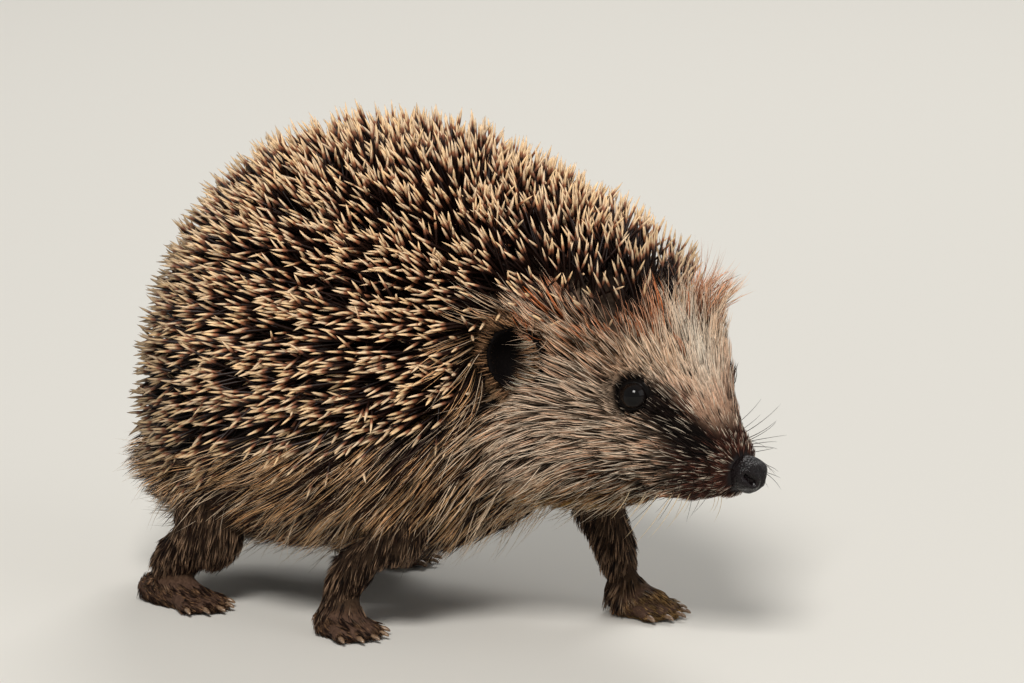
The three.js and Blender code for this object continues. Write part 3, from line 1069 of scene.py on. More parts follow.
def hair_length(points, leg, paw, ear, tail):
    """Millimetres from root to tip."""
    ahead, off_middle, _ = on_head(points)
    face = np.interp(ahead, [-16, -6, 4, 12, NOSE_AHEAD - 1], [9.5, 8.5, 6.0, 3.6, 2.2])
    face = blend(face, 10.5 + 5 * step(off_middle, -2, 7), brow(points))
    face = blend(face, np.maximum(face, 11.0), ruffled(points))
    face *= 0.3 + 0.7 * step(from_nearer(points, EYES), 4.0, 9.0)
    trunk = blend(19, 8, step(-points[:, 2], -21, -15))
    trunk = blend(trunk, 12, step(ahead, -36, -24))
    length = blend(trunk, face, step(ahead, -30, -16))
    length *= 1 - 0.4 * step(-from_nearer(points, EARS), -12, -7) * step(ahead, -30, -24)
    for here, share in ((12.5, ear_tuft(points)), (4.6, leg), (2.6, paw), (2.4, tail), (5.0, ear)):
        length = blend(length, here, share)
    return length


def length_at(roots):
    return hair_length(*(roots[name] for name in ("point", "leg", "paw", "ear", "tail")))


def lie_at(roots):
    return hair_lie(*(roots[name] for name in ("point", "normal", "leg", "paw", "ear")))


def pale_fur(points):
    """How far each place lies on the pale brow and bridge, where hair is light down to its root."""
    ahead, _, height = on_head(points)
    on_brow = step(height, 60, 66) * step(ahead, -12, -2) * (1 - 0.7 * step(height, 66, 72))
    return np.maximum(on_brow, step(ahead, 2, 7) * step(height, 50, 56))


def dark_share(points):
    """How many strands are dark: fewest on the brow, most on the flanks."""
    ahead, off_middle, height = on_head(points)
    share = blend(0.56, 0.34, step(ahead, *HEAD_BORDER))
    share = blend(share, 0.26 + 0.16 * step(-height, -60, -54), pale_fur(points))
    share *= 1 - 0.4 * ear_tuft(points)
    return share * (1 - 0.6 * bump(off_middle, 0, BLAZE_WIDTH) * pale_fur(points))


length_here = hair_length(body.points, legs, paws, ears, tail)
print("hair lengths, mm:", np.percentile(length_here, [5, 50, 95]).round(1))

# %% [markdown]
# ### Colours of single hairs
# Hairs take their colours from the markings, but no two are alike. A strand is dark or not as a
# whole, nearly; single hairs are pale or reddish, and pale ones fleck the dark muzzle. Each hair
# is painted darker towards its root, as shade deep in the coat, and is lightest at its tip, save on
# the pale brow, where it is light all along.


# %% Colours along each hair
FLECKS, FLECKS_IN_MASK = 0.24, 0.09  # shares of pale hairs in the dark muzzle
PALE_KINDS, SIENNA_KINDS = 0.34, 0.22  # shares of the hairs elsewhere
BRIGHTEST = 0.93  # no channel of a hair's colour goes above this


def coat_colours(roots, times, lock, locks, strand, strands):
    """Colours along hairs, given the lock and the strand of each, and how many there are."""
    points, count = roots["point"], len(roots["point"])
    tone = dice.lognormal(0, 0.28, count) * dice.lognormal(0, 0.14, locks)[lock]
    tone *= dice.lognormal(0.05, 0.22, strands)[strand]
    dark = 0.45 * dice.random(strands)[strand] + 0.55 * dice.random(count) < dark_share(points)
    strayed = points + dice.normal(0, 0.7, points.shape)  # borders between colours are ragged
    colour = markings(strayed, roots["leg"], 0.2 * roots["paw"], roots["ear"])
    rust = (dice.random(strands)[strand] < rusty(points)) * dice.uniform(0.6, 1, strands)[strand]
    colour = mixed(colour, RUST, rust)
    muzzle, mask = dark_muzzle(strayed)
    plain = 1 - np.max([muzzle, mask, roots["leg"], roots["paw"], roots["ear"], rust], 0)
    kind = dice.random(count)
    paler = 0.3 + 0.3 * step(on_head(points)[0], *HEAD_BORDER)
    colour = mixed(colour, PALE, paler * plain * (kind < PALE_KINDS))
    colour = mixed(colour, SIENNA, 0.5 * plain * (kind > 1 - SIENNA_KINDS) * (1 - 0.6 * pale_fur(points)))
    fleck = dice.random(count) < FLECKS * muzzle * (1 - mask) + FLECKS_IN_MASK * mask
    colour = np.where(fleck[:, None], PALE * 0.6, colour)
    colour = np.where((dark & ~fleck)[:, None], np.minimum(colour, DARK_HAIR), colour)
    # Painted shade: each hair is darkened towards its root, as shade deep in the coat; the pale brow's hairs
    # less so.
    ramp = np.interp(times, [0, 0.3, 0.6, 0.85, 1], [0.04, 0.18, 0.85, 1.6, 1.9])
    even = np.interp(times, [0, 0.3, 1], [0.3, 0.75, 1.35])
    ramp = ramp + (even - ramp) * pale_fur(points)[:, None]
    colours = colour[:, None] * tone[:, None, None] * ramp[:, :, None]
    return colours / np.maximum(colours.max(2, keepdims=True) / BRIGHTEST, 1)


print("kinds of hair:", PALE_KINDS, "pale,", SIENNA_KINDS, "reddish")

# %% [markdown]
# ### Growing a coat
# One function turns roots into hairs. A hair leaves the skin at the angle that takes its tip to the
# frame's outline, then bends down to lie along the coat. The tips of a strand's hairs are drawn
# together, then those of a lock, and each lock has its own wave.


# %% Grow hairs from roots
HAIR_TAPER = [0, 0.3, 0.75, 1], [0.8, 1.0, 0.7, 0]  # from root to tip: places, shares of the girth


def gathered(lines, points, lock, locks, gather, times):
    """Draws the tips of each lock's hairs together, more towards the tips."""
    size = np.maximum(np.bincount(lock, minlength=locks), 1)[:, None]
    tips = np.stack([np.bincount(lock, lines[:, -1, k], locks) for k in range(3)], 1) / size
    middle = np.stack([np.bincount(lock, points[:, k], locks) for k in range(3)], 1) / size
    goal = tips[lock] + (points - middle[lock]) * 0.12
    pull = (goal - lines[:, -1]) * gather * dice.uniform(0.6, 1.0, (len(lock), 1))
    lines += pull[:, None] * (times**1.4)[None, :, None]


def grow(roots, times, girth, strand_gap, lock_gap, gather, wave, stray):
    """Middle lines, radii and colours of hairs that gather into strands, and those into locks."""
    points, normal, count = roots["point"], roots["normal"], len(roots["point"])
    lie = lie_at(roots)
    lock, lock_places = locks_of(roots, lock_gap)
    strand, strand_places = locks_of(roots, strand_gap)
    locks, strands = len(lock_places), len(strand_places)
    length = length_at(roots) * dice.uniform(0.72, 1.28, count)
    length *= dice.uniform(0.82, 1.18, locks)[lock]
    depth_share = np.maximum(roots["depth"] / length, 0.2) * dice.uniform(0.5, 1.1, count)
    lift = np.arcsin(np.clip(depth_share, 0.1, 0.85))
    sunk = np.minimum(0.4, 0.05 + 0.06 * length)[:, None]
    standing = 0.35 * brow(points) + 1.1 * ruffled(points) + 0.3 * ear_tuft(points)
    fluff = standing * dice.uniform(0.3, 1.3, count) + 0.4 * roots["ear"]
    first = shaken(tilted(lie, normal, np.minimum(lift * 1.4 + fluff, 1.4)), stray)
    last = shaken(tilted(lie, normal, lift * 0.6 + (0.5 + 0.4 * ruffled(points)) * fluff), stray)
    lines = middle_lines(points - normal * sunk, first, last, length, times)

    gathered(lines, points, strand, strands, 0.65, times)
    gathered(lines, points, lock, locks, gather, times)
    phase = (dice.random(locks)[lock] * 6.3)[:, None]
    across = np.cross(lie, normal)
    swing = np.sin(phase + times * 5.5) - np.sin(phase)
    amount = wave * length * dice.uniform(0.4, 1.3, locks)[lock]
    lines += across[:, None] * (swing * amount[:, None] * times)[:, :, None]
    lines[:, :, 2] = np.maximum(lines[:, :, 2], HAIR_ABOVE_FLOOR)

    colours = coat_colours(roots, times, lock, locks, strand, strands)
    radii = girth[:, None] * np.interp(times, *HAIR_TAPER) * dice.uniform(0.6, 1.2, (count, 1))
    return lines, radii, colours


print("a hair is thickest at", HAIR_TAPER[0][1], "of its length")

# %% [markdown]
# ### Long and short fur
# Long hairs need more points to bend, so long and short ones are made apart, each in pieces that
# stay small enough. More roots go to the face, feet and ankles, where hair is short and dense, and
# none to the lids, the ears' hollows, the nose and the skin under the quills.

# %% Deal the hair into pieces
LONG_HAIRS, SHORT_HAIRS, FUR_PIECES = 25500, 28500, 3
LONG_TIMES = np.array([0, 0.25, 0.5, 0.77, 1.0])
SHORT_TIMES = np.array([0, 0.35, 0.7, 1.0])
NOSE_BARE, EARS_FURRED = 3.8, 11  # mm

ahead, off_middle, height = on_head(body.points)
# mm above the quills' line: over the ears, hair runs on under the quills
hair_ends = 2 + 5 * bump(body.points[:, 0], 31, 10) + 3 * ear_tuft(body.points)
bare = above_quill_line(body.points) > hair_ends
bare &= from_nearer(body.points, EARS) > EARS_FURRED
bare |= (lid_closeness > 0.6) | (ear_hole(body.points) > 0.5)
bare |= distance(body.points, NOSE) < NOSE_BARE
longish = step(length_here, 5.0, 7.0)
density = np.where(bare, 0, 1) * (1 - 0.5 * quill_share) * (1 + 1.2 * ear_tuft(body.points))
density *= 1 - 0.5 * step(height, 66, 71) * step(ahead, -18, -8)  # the hood's shade shows between
round_eyes = bump(from_nearer(body.points, EYES), 5, 2)
long_weight = longish * density * (1 + 0.5 * step(ahead, -30, -18))
short_weight = (1 - longish) * density * (1 + 0.9 * step(ahead, -4, 8)) * (1 + round_eyes)
short_weight *= (1 + 1.5 * paws) * (1 + bump(distance(body.points, NOSE), 5, 3))
at_ankle = np.maximum(legs, paws) * bump(height, 11, 5)
long_weight *= 1 + 2.5 * at_ankle
short_weight *= 1 + 2.5 * at_ankle

roots = scatter(LONG_HAIRS, long_weight)
girth = blend(0.13, 0.105, step(on_head(roots["point"])[0], -30, -18))
grown = grow(
    roots, LONG_TIMES, girth, strand_gap=0.85, lock_gap=3.2, gather=0.55, wave=0.035, stray=0.09
)
long_fur = dealt("long_fur", FUR_PIECES, *grown, roots["uv"])

roots = scatter(SHORT_HAIRS, short_weight)
girth = np.clip(length_at(roots) * 0.022, 0.07, 0.1) + 0.02 * roots["paw"]
grown = grow(
    roots, SHORT_TIMES, girth, strand_gap=0.55, lock_gap=2.0, gather=0.35, wave=0.02, stray=0.12
)
short_fur = dealt("short_fur", FUR_PIECES, *grown, roots["uv"])

# %% [markdown]
# ### Guard hairs
# A few longer, paler hairs stand out of the coat and lie across it, over the cheeks, the brow and
# the flanks and back over the lowest quills. They are what makes fur look soft at its edge.

# %% Guard hairs
GUARD_HAIRS, GUARD_LONGEST = 3400, 18  # hairs, mm
GUARD_TIMES = np.array([0, 0.25, 0.5, 0.75, 1.0])

roots = scatter(GUARD_HAIRS, longish * density * (1 + 3 * brow(body.points)))
place, normal, count = roots["point"], roots["normal"], len(roots["point"])
lie = lie_at(roots)
length = np.minimum(length_at(roots) * dice.uniform(1.1, 1.6, count), GUARD_LONGEST)
lift = np.arcsin(np.clip(roots["depth"] / length, 0, 0.9)) + dice.uniform(0.1, 0.45, count)
lift = np.minimum(np.clip(lift, 0, 1.3) + 0.4 * brow(place), 1.4)
first = shaken(tilted(lie, normal, lift), 0.16)
last = shaken(tilted(lie, normal, lift - 0.5), 0.2)
lines = middle_lines(place - normal * 0.4, first, last, length, GUARD_TIMES)
lines[:, :, 2] = np.maximum(lines[:, :, 2], HAIR_ABOVE_FLOOR)
radii = np.interp(GUARD_TIMES, [0, 0.4, 1], [0.09, 0.085, 0]) * dice.uniform(0.8, 1.2, (count, 1))
tone = np.where(dice.random(count) < 0.2, 0.2, dice.uniform(0.7, 1.0, count))
own = markings(place, roots["leg"], roots["paw"], roots["ear"])
own = mixed(own, RUST, rusty(place))
own = mixed(own, PALE, 0.65 * (1 - rusty(place)))
# Painted shade: each guard hair is darker towards its root.
ramp = tone[:, None] * [0.5, 0.9, 1, 1, 1]
guard_fur = [tubes("guard_hairs", lines, radii, own[:, None] * ramp[:, :, None], roots["uv"])]

# %% [markdown]
# ### Ear fringe
# The rim of each ear is hidden in short brown hair that stands outwards and back, paler hairs from
# its front edge reach across the hollow, and a few stand inside it, painted dark as the hollow's
# shade.

# %% Ear fringe
EAR_HAIRS = 2600
FRINGE_BROWN, FRINGE_IN_SHADE = rgb(176, 134, 98), rgb(40, 27, 21)

on_rim = bump(ear_cup(body.points), 1.04, 0.12) + 0.35 * ear_hole(body.points)
roots = scatter(EAR_HAIRS, on_rim * (from_nearer(body.points, EARS) < 10))
place, count = roots["point"], len(roots["point"])
is_left = (on_head(place)[1] > 0)[:, None]
outward = np.where(is_left, LEFT, -LEFT)
radial = unit(place - np.where(is_left, EARS[1], EARS[-1]))
at_front = step(radial @ AHEAD - 0.4 * (radial @ UP), 0.0, 0.5)
standing = mixed(
    0.9 * outward + 0.7 * radial + 0.3 * BACK, 0.9 * outward - 0.2 * radial + 0.3 * BACK, at_front
)
leaning = mixed(
    0.1 * outward + 0.5 * radial + 0.9 * BACK, 0.1 * outward - 0.5 * radial + 0.8 * BACK, at_front
)
first, last = shaken(standing, 0.22), shaken(leaning, 0.22)
length = blend(3.6, 5.2, at_front) * dice.uniform(0.6, 1.25, count)
lines = middle_lines(place - outward * 0.3, first, last, length, SHORT_TIMES)
radii = np.interp(SHORT_TIMES, [0, 0.4, 1], [0.09, 0.085, 0]) * dice.uniform(0.7, 1.1, (count, 1))
own = mixed(np.tile(FRINGE_BROWN, (count, 1)), CHEEK, at_front * (dice.random(count) < 0.5))
# Painted shade: hairs inside an ear's hollow are darkened.
own = mixed(own, FRINGE_IN_SHADE, 0.9 * ear_hole(place))
tone = dice.lognormal(0, 0.3, count) * np.where(dice.random(count) < 0.35, 0.25, 1)
# Painted shade: each fringe hair is darker towards its root.
ramp = tone[:, None] * [0.4, 0.8, 1.1, 1.2]
colours = np.minimum(own[:, None] * ramp[:, :, None], 0.8)
guard_fur.append(tubes("ear_fringe", lines, radii, colours, roots["uv"]))

# %% [markdown]
# ## Eyes
# The eye is a black, wet bead that bulges a little at the front. A sphere at the frame's own place
# and size, with its front drawn out along the gaze, gives the bulge, and a number on each point
# says how far it is from the middle of the gaze, for the faint brown of the iris.


# %% Eyeballs
EYE_BULGE, BULGE_REACH = 0.035, 0.8  # share of the radius, and radians off the gaze


def eyeball(side):
    name = "eyeball_left" if side == 1 else "eyeball_right"
    bm = bmesh.new()
    bmesh.ops.create_uvsphere(bm, u_segments=64, v_segments=40, radius=1)
    off_gaze = []
    for v in bm.verts:
        angle = math.acos(max(-1, min(1, v.co @ Vector(GAZE[side]))))
        off_gaze.append(angle)
        bulge = 1 + EYE_BULGE * max(0, 1 - (angle / BULGE_REACH) ** 2)
        v.co = (Vector(EYES[side]) + v.co * EYE_RADIUS * bulge) * MM
    made = object_from(name, bm)
    set_values(made.data, "off_gaze", off_gaze)
    return made


eyeballs = {side: eyeball(side) for side in (1, -1)}
print("eyeballs:", [o.name for o in eyeballs.values()])

# %% [markdown]
# ## Nose pad
# The nose is a bare, wet, pebbled pad with two comma-shaped nostrils that open sideways and a
# groove between them. A sphere with many rows is made a little square, then pressed in where those
# are: each dent is deepest on a short line and fades out over its width, and the nostril has a
# raised rim. The back runs on into the muzzle.

# %% Nose pad
PAD_SIZE = half_size("nose")[2] * np.array([1.04, 1.08, 1.1])  # mm ahead, aside and up
PAD_SQUARENESS, PAD_GROWTH = 0.85, 1.03  # an exponent, where 1 is round, and what makes up for it
PAD_RAISED = 0.2  # mm
NOSTRIL = (0.80, 0.50, -0.22), (0.45, 0.86, 0.05)  # its ends on a ball: ahead, aside and up
NOSTRIL_DEPTH, NOSTRIL_RIM, GROOVE_DEPTH = 1.5, 0.14, 0.4  # mm

bm = bmesh.new()
bmesh.ops.create_uvsphere(bm, u_segments=120, v_segments=80, radius=1)
bm.verts.ensure_lookup_table()
ways = np.array([v.co for v in bm.verts])
mirrored = ways * [1, 0, 1] + np.abs(ways) * [0, 1, 0]
from_slit, along_slit = to_segment(mirrored, *NOSTRIL)
press = NOSTRIL_DEPTH * bump(from_slit, 0, 0.17 - 0.09 * along_slit)
press -= NOSTRIL_RIM * bump(from_slit, 0.34, 0.13)
in_groove = bump(ways[:, 1], 0, 0.07) * step(ways[:, 0], 0.1, 0.5) * step(-ways[:, 2], -0.65, -0.2)
press += GROOVE_DEPTH * in_groove
# flatter on top and over the front edge, and hollow under each nostril
press += 0.35 * step(ways[:, 2], 0.45, 1.0) + 0.45 * step(ways[:, 0] + ways[:, 2], 0.9, 1.4)
press += 0.5 * bump(mirrored[:, 1], 0.5, 0.3) * step(-ways[:, 2], 0.5, 0.9)
shaped = unit(np.sign(ways) * np.abs(ways) ** PAD_SQUARENESS) * PAD_GROWTH
shaped = shaped * (PAD_SIZE - press[:, None])
shaped[:, 0] *= 1 + 0.45 * step(-ways[:, 0], -0.1, 0.6)
for v, p in zip(bm.verts, shaped):
    v.co = Vector(NOSE + p[0] * AHEAD + p[1] * LEFT + (p[2] + PAD_RAISED) * UP) * MM
nose_pad = object_from("nose_pad", bm)
print("nose pad, mm:", np.array(nose_pad.dimensions / MM).round(1))

# %% [markdown]
# ## Claws
# Claws are small pale horns that curve to the floor. The frame's own are right in place and size
# but have flat sides, so copies of them are rounded by subdivision.

# %% Claws
bm = bmesh.new()
for name in CLAWS:
    bm.from_mesh(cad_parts[name].data)
bmesh.ops.remove_doubles(bm, verts=bm.verts, dist=1e-6)
claws = object_from("claws", bm)
rounding = claws.modifiers.new("rounding", "SUBSURF")
rounding.levels = rounding.render_levels = 2
apply_modifiers(claws)
print("claws:", len(claws.data.polygons), "faces")

# %% [markdown]
# ## Whiskers
# Whiskers are thicker and longer than hair and stand out from the muzzle: dark ones in rows on the
# sides, which sweep forwards and curl, and a few pale ones under the chin. A ray cast in from the
# side finds each root on the skin.

# %% Whiskers
WHISKER_TIMES = np.linspace(0, 1, 9)
WHISKER_DARK, WHISKER_PALE = rgb(34, 24, 20), rgb(214, 192, 156)
WHISKER_ROWS, WHISKERS_IN_ROW, CHIN_WHISKERS = 4, 5, 7  # on each side
skin_tree = BVHTree.FromPolygons(body.points.tolist(), body.triangles.tolist())


def on_skin(ahead, side, height):
    """Where a ray cast in from one side meets the skin, and that place on the unwrap."""
    place, _, face, _ = skin_tree.ray_cast(Vector(head_point(ahead, 40 * side, height)), Vector(-LEFT * side))
    return np.array(place), body.uv[face].mean(0)


rows = []
for side in (1, -1):
    outward = side * LEFT
    for row in range(WHISKER_ROWS):
        for k in range(WHISKERS_IN_ROW):
            place, uv = on_skin(
                8 + k * 2 - row * 0.5 + dice.normal(0, 0.3), side, 41.0 + row * 1.8 + dice.normal(0, 0.3)
            )
            first = outward + AHEAD * (0.25 + 0.16 * k) + UP * (0.32 * row - 0.45) + dice.normal(0, 0.12, 3)
            last = outward * 0.7 - AHEAD * 0.2 + UP * (0.3 * row - 0.7) + dice.normal(0, 0.2, 3)
            length = dice.uniform(12, 20) * (1 - 0.08 * k)
            rows.append((place, unit(first), unit(last), length, WHISKER_DARK, uv))
    for k in range(CHIN_WHISKERS):
        place, uv = on_skin(-4 + k * 2.2 + dice.normal(0, 0.5), side, 37.2 + dice.normal(0, 0.4))
        first = outward * 0.5 - UP * 0.8 - AHEAD * 0.2 + dice.normal(0, 0.1, 3)
        last = -AHEAD * 0.8 - UP * 0.9 + outward * 0.2
        rows.append((place, unit(first), unit(last), dice.uniform(9, 15), WHISKER_PALE, uv))
place, first, last, length, own, uv = (np.array(column) for column in zip(*rows))
lines = middle_lines(place, first, last, length, WHISKER_TIMES)
radii = np.interp(WHISKER_TIMES, [0, 0.3, 1], [0.095, 0.075, 0.02]) * np.ones((len(rows), 1))
colours = own[:, None] * np.ones((1, len(WHISKER_TIMES), 1))
whiskers = tubes("whiskers", lines, radii, colours, uv, corners=4)

# %% [markdown]
# ## Wiring materials
# Materials are built from nodes. A small class wraps a node's output, so that sums and products
# of outputs read as Python and add Math nodes, and one method makes every other node. The world
# and the floor are wired in the same way.


# %% Wires and finishes
class Wire:
    """An output of a node."""

    def __init__(self, wiring, socket):
        self.wiring = wiring
        self.socket = socket

    def __add__(self, other):
        return self.wiring.math("ADD", self, other)

    def __mul__(self, other):
        return self.wiring.math("MULTIPLY", self, other)

    def __sub__(self, other):
        return self.wiring.math("SUBTRACT", self, other)

    def __rsub__(self, other):
        return self.wiring.math("SUBTRACT", other, self)

    __radd__ = __add__
    __rmul__ = __mul__


class Wiring:
    """The nodes of a material or of the world."""

    def __init__(self, tree):
        self.tree = tree

    def connect(self, socket, value):
        if isinstance(value, Wire):
            self.tree.links.new(value.socket, socket)
        else:
            socket.default_value = value

    def node(self, kind, settings=None, inputs=None, output=0):
        made = self.tree.nodes.new("ShaderNode" + kind)
        for name, value in (settings or {}).items():
            if name == "stops":
                elements = made.color_ramp.elements
                while len(elements) < len(value):
                    elements.new(1)
                for element, (place, colour) in zip(elements, value):
                    element.position = place
                    element.color = (*colour, 1)
            else:
                setattr(made, name, value)
        for name, value in (inputs or {}).items():
            self.connect(made.inputs[name], value)
        return Wire(self, made.outputs[output])

    def math(self, operation, a, b):
        return self.node("Math", {"operation": operation}, {0: a, 1: b})


class Finish(Wiring):
    """A material whose shader is one Principled BSDF."""

    def __init__(self, name, **constants):
        self.material = bpy.data.materials.new(name)
        self.material.use_nodes = True
        super().__init__(self.material.node_tree)
        self.shader = self.tree.nodes["Principled BSDF"]
        self.feed(**constants)

    def feed(self, **values):
        """Sets or links the shader's sockets, with _ for each space in a socket's name."""
        for name, value in values.items():
            self.connect(self.shader.inputs[name.replace("_", " ")], value)

    def multiplied(self, a, b):
        settings = {"data_type": "RGBA", "blend_type": "MULTIPLY"}
        return self.node("Mix", settings, {"Factor": 1.0, 6: a, 7: b}, 2)

    def ramp(self, share, stops):
        return self.node("ValToRGB", {"stops": stops}, {"Fac": share})

    def attribute(self, name, output="Color"):
        return self.node("Attribute", {"attribute_name": name}, output=output)

    def noise(self, cells_per_mm, detail=3.0, stretch=(1, 1, 1)):
        places = self.node("TexCoord", output="Object")
        places = self.node("Mapping", {}, {"Vector": places, "Scale": stretch})
        inputs = {"Vector": places, "Scale": cells_per_mm / MM, "Detail": detail}
        return self.node("TexNoise", {}, inputs)

    def bump(self, height, distance_mm, strength=1.0):
        inputs = {"Height": height, "Distance": distance_mm * MM, "Strength": strength}
        return self.node("Bump", {}, inputs)


print("finishes are wired by", Finish.__name__)

# %% [markdown]
# ## Finishes
# Skin takes its colour from the markings, broken up by fine noise, and shines where it is wet.
# Quills read each point's distance from the tip, through a ramp of bands. Hair takes the colour
# that each hair was given. The eye and nose are dark and wet, and claws are pale horn.


# %% How each finish is made
QUILL_BANDS = 8.4  # mm from the tip over which a quill's bands run
IRIS_EDGE = 1.2  # radians off the gaze over which the eye's colours run
EYE_BLACK = (0.002, 0.0015, 0.0015)


def skin_finish():
    finish = Finish("skin", Specular_IOR_Level=0.06, Coat_Roughness=0.25)
    shade = finish.ramp(finish.noise(1.6, 5), [(0.3, (0.6, 0.55, 0.52)), (0.7, (1.15, 1.1, 1.05))])
    wet = finish.attribute("wet", "Fac")
    finish.feed(
        Base_Color=finish.multiplied(finish.attribute("tint"), shade),
        Roughness=0.8 - wet * 0.3,
        Coat_Weight=wet * 0.5,
        Normal=finish.bump(finish.noise(1.8, 4), 0.3, 0.8),
    )
    return finish.material


def quill_finish():
    point, band, brown, shaft = rgb(170, 126, 94), rgb(252, 220, 178), rgb(158, 104, 76), rgb(36, 20, 15)
    # Below the cream band a quill turns brown, then dark, darkest at the root: partly its own dark band,
    # partly painted shade deep in the coat.
    stops = [(0, point), (0.06, band), (0.27, band * 0.85), (0.36, brown), (0.5, shaft), (1, shaft * 0.7)]
    finish = Finish("quill", Roughness=0.4, Specular_IOR_Level=0.22)
    bands = finish.ramp(finish.attribute("from_tip", "Fac") * (1 / QUILL_BANDS), stops)
    worn = finish.ramp(finish.noise(1.2), [(0.35, (0.9, 0.85, 0.8)), (0.65, (1.0, 1.0, 1.0))])
    colour = finish.multiplied(bands, finish.attribute("tint"))
    finish.feed(Base_Color=finish.multiplied(colour, worn))
    return finish.material


def hair_finish(name, roughness):
    finish = Finish(name, Roughness=roughness, Specular_IOR_Level=0.12)
    streaks = finish.ramp(finish.noise(0.7), [(0.3, (0.86, 0.82, 0.78)), (0.7, (1.05, 1.05, 1.05))])
    finish.feed(Base_Color=finish.multiplied(finish.attribute("tint"), streaks))
    return finish.material


def eye_finish():
    finish = Finish("eye", Roughness=0.03, Specular_IOR_Level=0.17)
    stops = [(0, EYE_BLACK), (0.42, EYE_BLACK), (0.6, rgb(16, 10, 8)), (0.9, rgb(8, 5, 5))]
    finish.feed(Base_Color=finish.ramp(finish.attribute("off_gaze", "Fac") * (1 / IRIS_EDGE), stops))
    return finish.material


def nose_finish():
    finish = Finish("nose", Specular_IOR_Level=0.2)
    places = finish.node("TexCoord", output="Object")
    inputs = {"Vector": places, "Scale": 2.6 / MM, "Smoothness": 0.5}
    pebbles = finish.node("TexVoronoi", {"feature": "SMOOTH_F1"}, inputs)
    # Painted shade: the grooves between the pebbles are darker than their tops.
    finish.feed(
        Base_Color=finish.ramp(pebbles, [(0.2, rgb(26, 19, 20)), (0.75, rgb(9, 6, 7))]),
        Roughness=0.1 + finish.noise(1.5) * 0.2,
        Normal=finish.bump(1 - pebbles, 0.16, 1.0),
    )
    return finish.material


def claw_finish():
    finish = Finish("claw", Roughness=0.35, Coat_Weight=0.2)
    grain = finish.noise(1.4, 4, (1, 1, 3))
    stops = [(0.35, rgb(96, 72, 54)), (0.65, rgb(150, 124, 98))]
    finish.feed(Base_Color=finish.ramp(grain, stops), Normal=finish.bump(grain, 0.05, 0.4))
    return finish.material


print("a quill's bands run over", QUILL_BANDS, "mm from its tip")

# %% [markdown]
# ### Colouring the skin
# Skin under hair or quills lies in their shade, so it is painted darker than the markings say. The
# lids, the lips and the skin round the nose are nearly black, and the ears' hollows are painted
# near-black as their shade; all but the ears are wet as well.

# %% Colour the skin and make the finishes
LID_BLACK, LIP_BROWN, NOSE_BROWN = rgb(9, 6, 5), rgb(24, 15, 14), rgb(18, 12, 12)
SHADED_SKIN = 0.22  # how much light hair lets through to the skin under it

# Painted shade: the skin under the quills is near-black, as their shade.
skin_colour = mixed(markings(body.points, legs, paws, ears), QUILL_BED_SHADE, quill_share)
under_hair = np.clip(np.maximum(long_weight, short_weight), 0, 1) * (1 - 0.6 * paws)
skin_colour = mixed(skin_colour, skin_colour * SHADED_SKIN, under_hair * (1 - 0.6 * pale_fur(body.points)))
round_ears = step(-ear_cup(body.points), -1.25, -1.1)
round_nose = step(-distance(body.points, NOSE), -5.6, -4.4)
for over, share in (
    (LID_BLACK, lid_closeness),
    # painted shade: skin within each ear's rim is near-black
    (EAR_HOLLOW_SHADE * 3, round_ears),
    (LIP_BROWN, np.clip(in_mouth, 0, 1)),
    (NOSE_BROWN, round_nose),
):
    skin_colour = mixed(skin_colour, over, share)
set_tint(skin.data, skin_colour)
set_values(skin.data, "wet", np.clip(0.15 * lid_closeness + 0.4 * in_mouth + 0.4 * round_nose, 0, 1))

finishes = {
    "skin": skin_finish(),
    "quill": quill_finish(),
    "fur": hair_finish("fur", 0.5),
    "whisker": hair_finish("whisker", 0.4),
    "eye": eye_finish(),
    "nose": nose_finish(),
    "claw": claw_finish(),
}
print("finishes:", ", ".join(finishes))

# %% [markdown]
# ## Handing the pieces to the frame
# Each piece rides on the frame's one body and takes a finish, and the frame's nodes that it stands
# for are hidden.


# %% Pieces
def hand_over(piece, finish, nodes=()):
    piece.data.materials.clear()
    piece.data.materials.append(finishes[finish])
    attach(piece, "root")
    if nodes:
        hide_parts(*nodes)


FLESH_NODES = ["trunk", "neck", "head", "jaw", "tail", "ear_left", "ear_right", *LIMBS, *PAWS]
hand_over(skin, "skin", FLESH_NODES)
for piece in quill_pieces:
    hand_over(piece, "quill")
for piece in long_fur + short_fur + guard_fur:
    hand_over(piece, "fur")
hand_over(whiskers, "whisker")
for side, node in ((1, "eye_left"), (-1, "eye_right")):
    hand_over(eyeballs[side], "eye", [node])
hand_over(nose_pad, "nose", ["nose"])
hand_over(claws, "claw", CLAWS)

# %% [markdown]
# ## Stage
# The animal stands on a plain pale floor, which fades into the backdrop's colour further off. The
# world is weak as light, but as strong as the backdrop should look where the camera or a glossy
# ray sees it.

# %% Floor and backdrop
AMBIENT, BACKDROP = 0.22, 0.6  # the world's strength as light, and as what is seen or mirrored
BACKDROP_COLOUR = (0.83, 0.83, 0.81, 1)
FLOOR_COLOUR = (*rgb(226, 224, 218), 1)
FLOOR_SIZE, FADE_FROM, FADE_TO = 8, 1.0, 2.4  # metres

bm = bmesh.new()
bmesh.ops.create_grid(bm, x_segments=1, y_segments=1, size=FLOOR_SIZE)
floor = object_from("floor", bm)
finish = Finish("floor", Roughness=0.9, Specular_IOR_Level=0.1, Base_Color=FLOOR_COLOUR)
places = finish.node("TexCoord", output="Object")
far_off = finish.node("VectorMath", {"operation": "LENGTH"}, {0: places}, output=1)
inputs = {"Value": far_off, "From Min": FADE_FROM, "From Max": FADE_TO}
haze = finish.node("MapRange", {"interpolation_type": "SMOOTHSTEP"}, inputs)
glow = finish.node("Emission", {}, {"Color": BACKDROP_COLOUR, "Strength": BACKDROP})
lit = Wire(finish, finish.shader.outputs[0])
shown = finish.node("MixShader", {}, {"Fac": haze, 1: lit, 2: glow})
finish.connect(finish.tree.nodes["Material Output"].inputs["Surface"], shown)
floor.data.materials.append(finish.material)

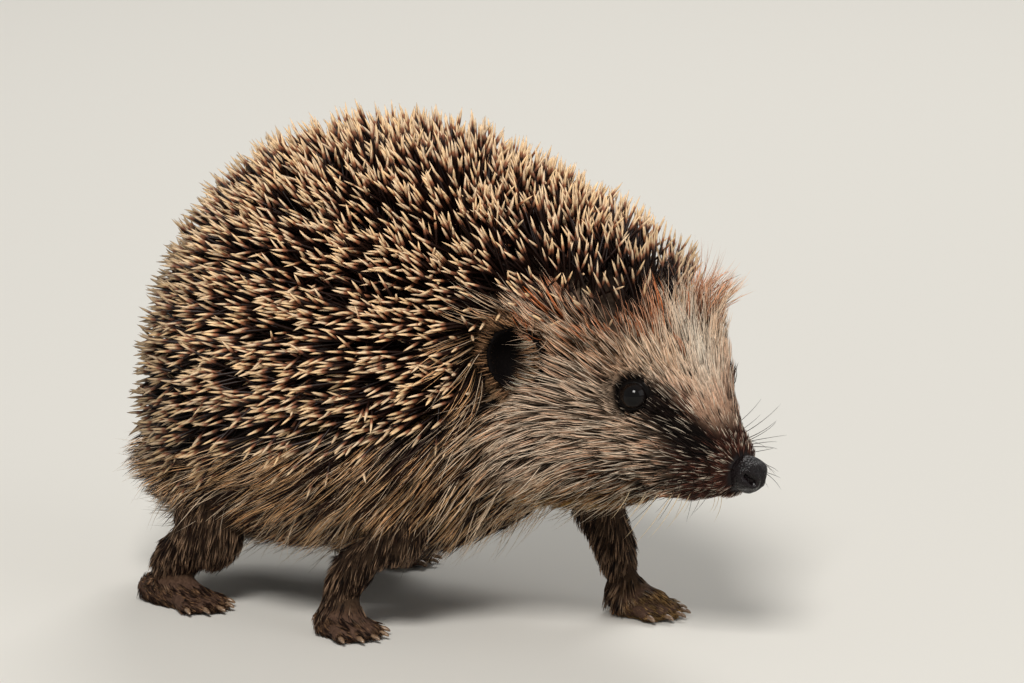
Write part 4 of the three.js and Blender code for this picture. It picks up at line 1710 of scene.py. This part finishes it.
world = bpy.data.worlds.new("studio")
world.use_nodes = True
bpy.context.scene.world = world
studio = Wiring(world.node_tree)
seen = studio.node("LightPath", output="Is Camera Ray")
for ray in ("Is Glossy Ray", "Is Transmission Ray"):
    seen = studio.math("MAXIMUM", seen, studio.node("LightPath", output=ray))
strength = studio.node("MapRange", {}, {"Value": seen, "To Min": AMBIENT, "To Max": BACKDROP})
background = world.node_tree.nodes["Background"]
studio.connect(background.inputs["Color"], BACKDROP_COLOUR)
studio.connect(background.inputs["Strength"], strength)
print("floor fades out", FADE_FROM, "to", FADE_TO, "m away")

# %% [markdown]
# ### Lamps and camera
# One soft lamp, high and a little to the camera's left, models the quills and sets a small
# highlight in the eye. A second fills the shade, and a third behind draws the edge of the back.
# The camera looks from the animal's right front, a little above it.

# %% Lamps and camera
CAMERA_TARGET = Vector((8.69, 5.25, 60.1)) * MM
CAMERA_TURN, CAMERA_RISE, CAMERA_FAR = 35, 12, 1.45  # degrees, degrees, metres
CAMERA_LENS, CAMERA_SENSOR = 239.6, 36  # mm
CLIP_NEAR, CLIP_FAR = 0.05, 50  # metres
LAMPS = (  # name, degrees from the camera, degrees up, metres away, metres across, watts, colour
    ("key", -8, 43, 2.6, 0.7, 57, (1, 0.97, 0.93)),
    ("fill", 55, 25, 1.5, 0.9, 3, (0.97, 0.98, 1)),
    ("rim", 170, 45, 1.4, 0.6, 7, (1, 0.98, 0.95)),
)


def direction_to(turn, rise):
    """From the animal, where 0 is straight off its right side and 90 straight ahead of it."""
    a, e = math.radians(turn), math.radians(rise)
    return Vector((math.sin(a) * math.cos(e), -math.cos(a) * math.cos(e), math.sin(e)))


def placed(name, data, turn, rise, far):
    """A lamp or camera that looks at the animal."""
    made = new_object(name, data)
    way = direction_to(turn, rise)
    made.location = CAMERA_TARGET + way * far
    made.rotation_euler = way.to_track_quat("Z", "Y").to_euler()
    return made


for name, turn, rise, far, size, power, colour in LAMPS:
    light = bpy.data.lights.new(name, "AREA")
    light.size = size
    light.energy = power
    light.color = colour
    placed(name, light, CAMERA_TURN + turn, rise, far)

camera_data = bpy.data.cameras.new("camera")
camera_data.lens = CAMERA_LENS
camera_data.sensor_width = CAMERA_SENSOR
camera_data.clip_start = CLIP_NEAR
camera_data.clip_end = CLIP_FAR
camera = placed("camera", camera_data, CAMERA_TURN, CAMERA_RISE, CAMERA_FAR)
bpy.context.scene.camera = camera
bpy.context.scene.view_settings.view_transform = "Standard"
print("camera at", [round(v, 3) for v in camera.location], "with", len(LAMPS), "lamps")

# %% [markdown]
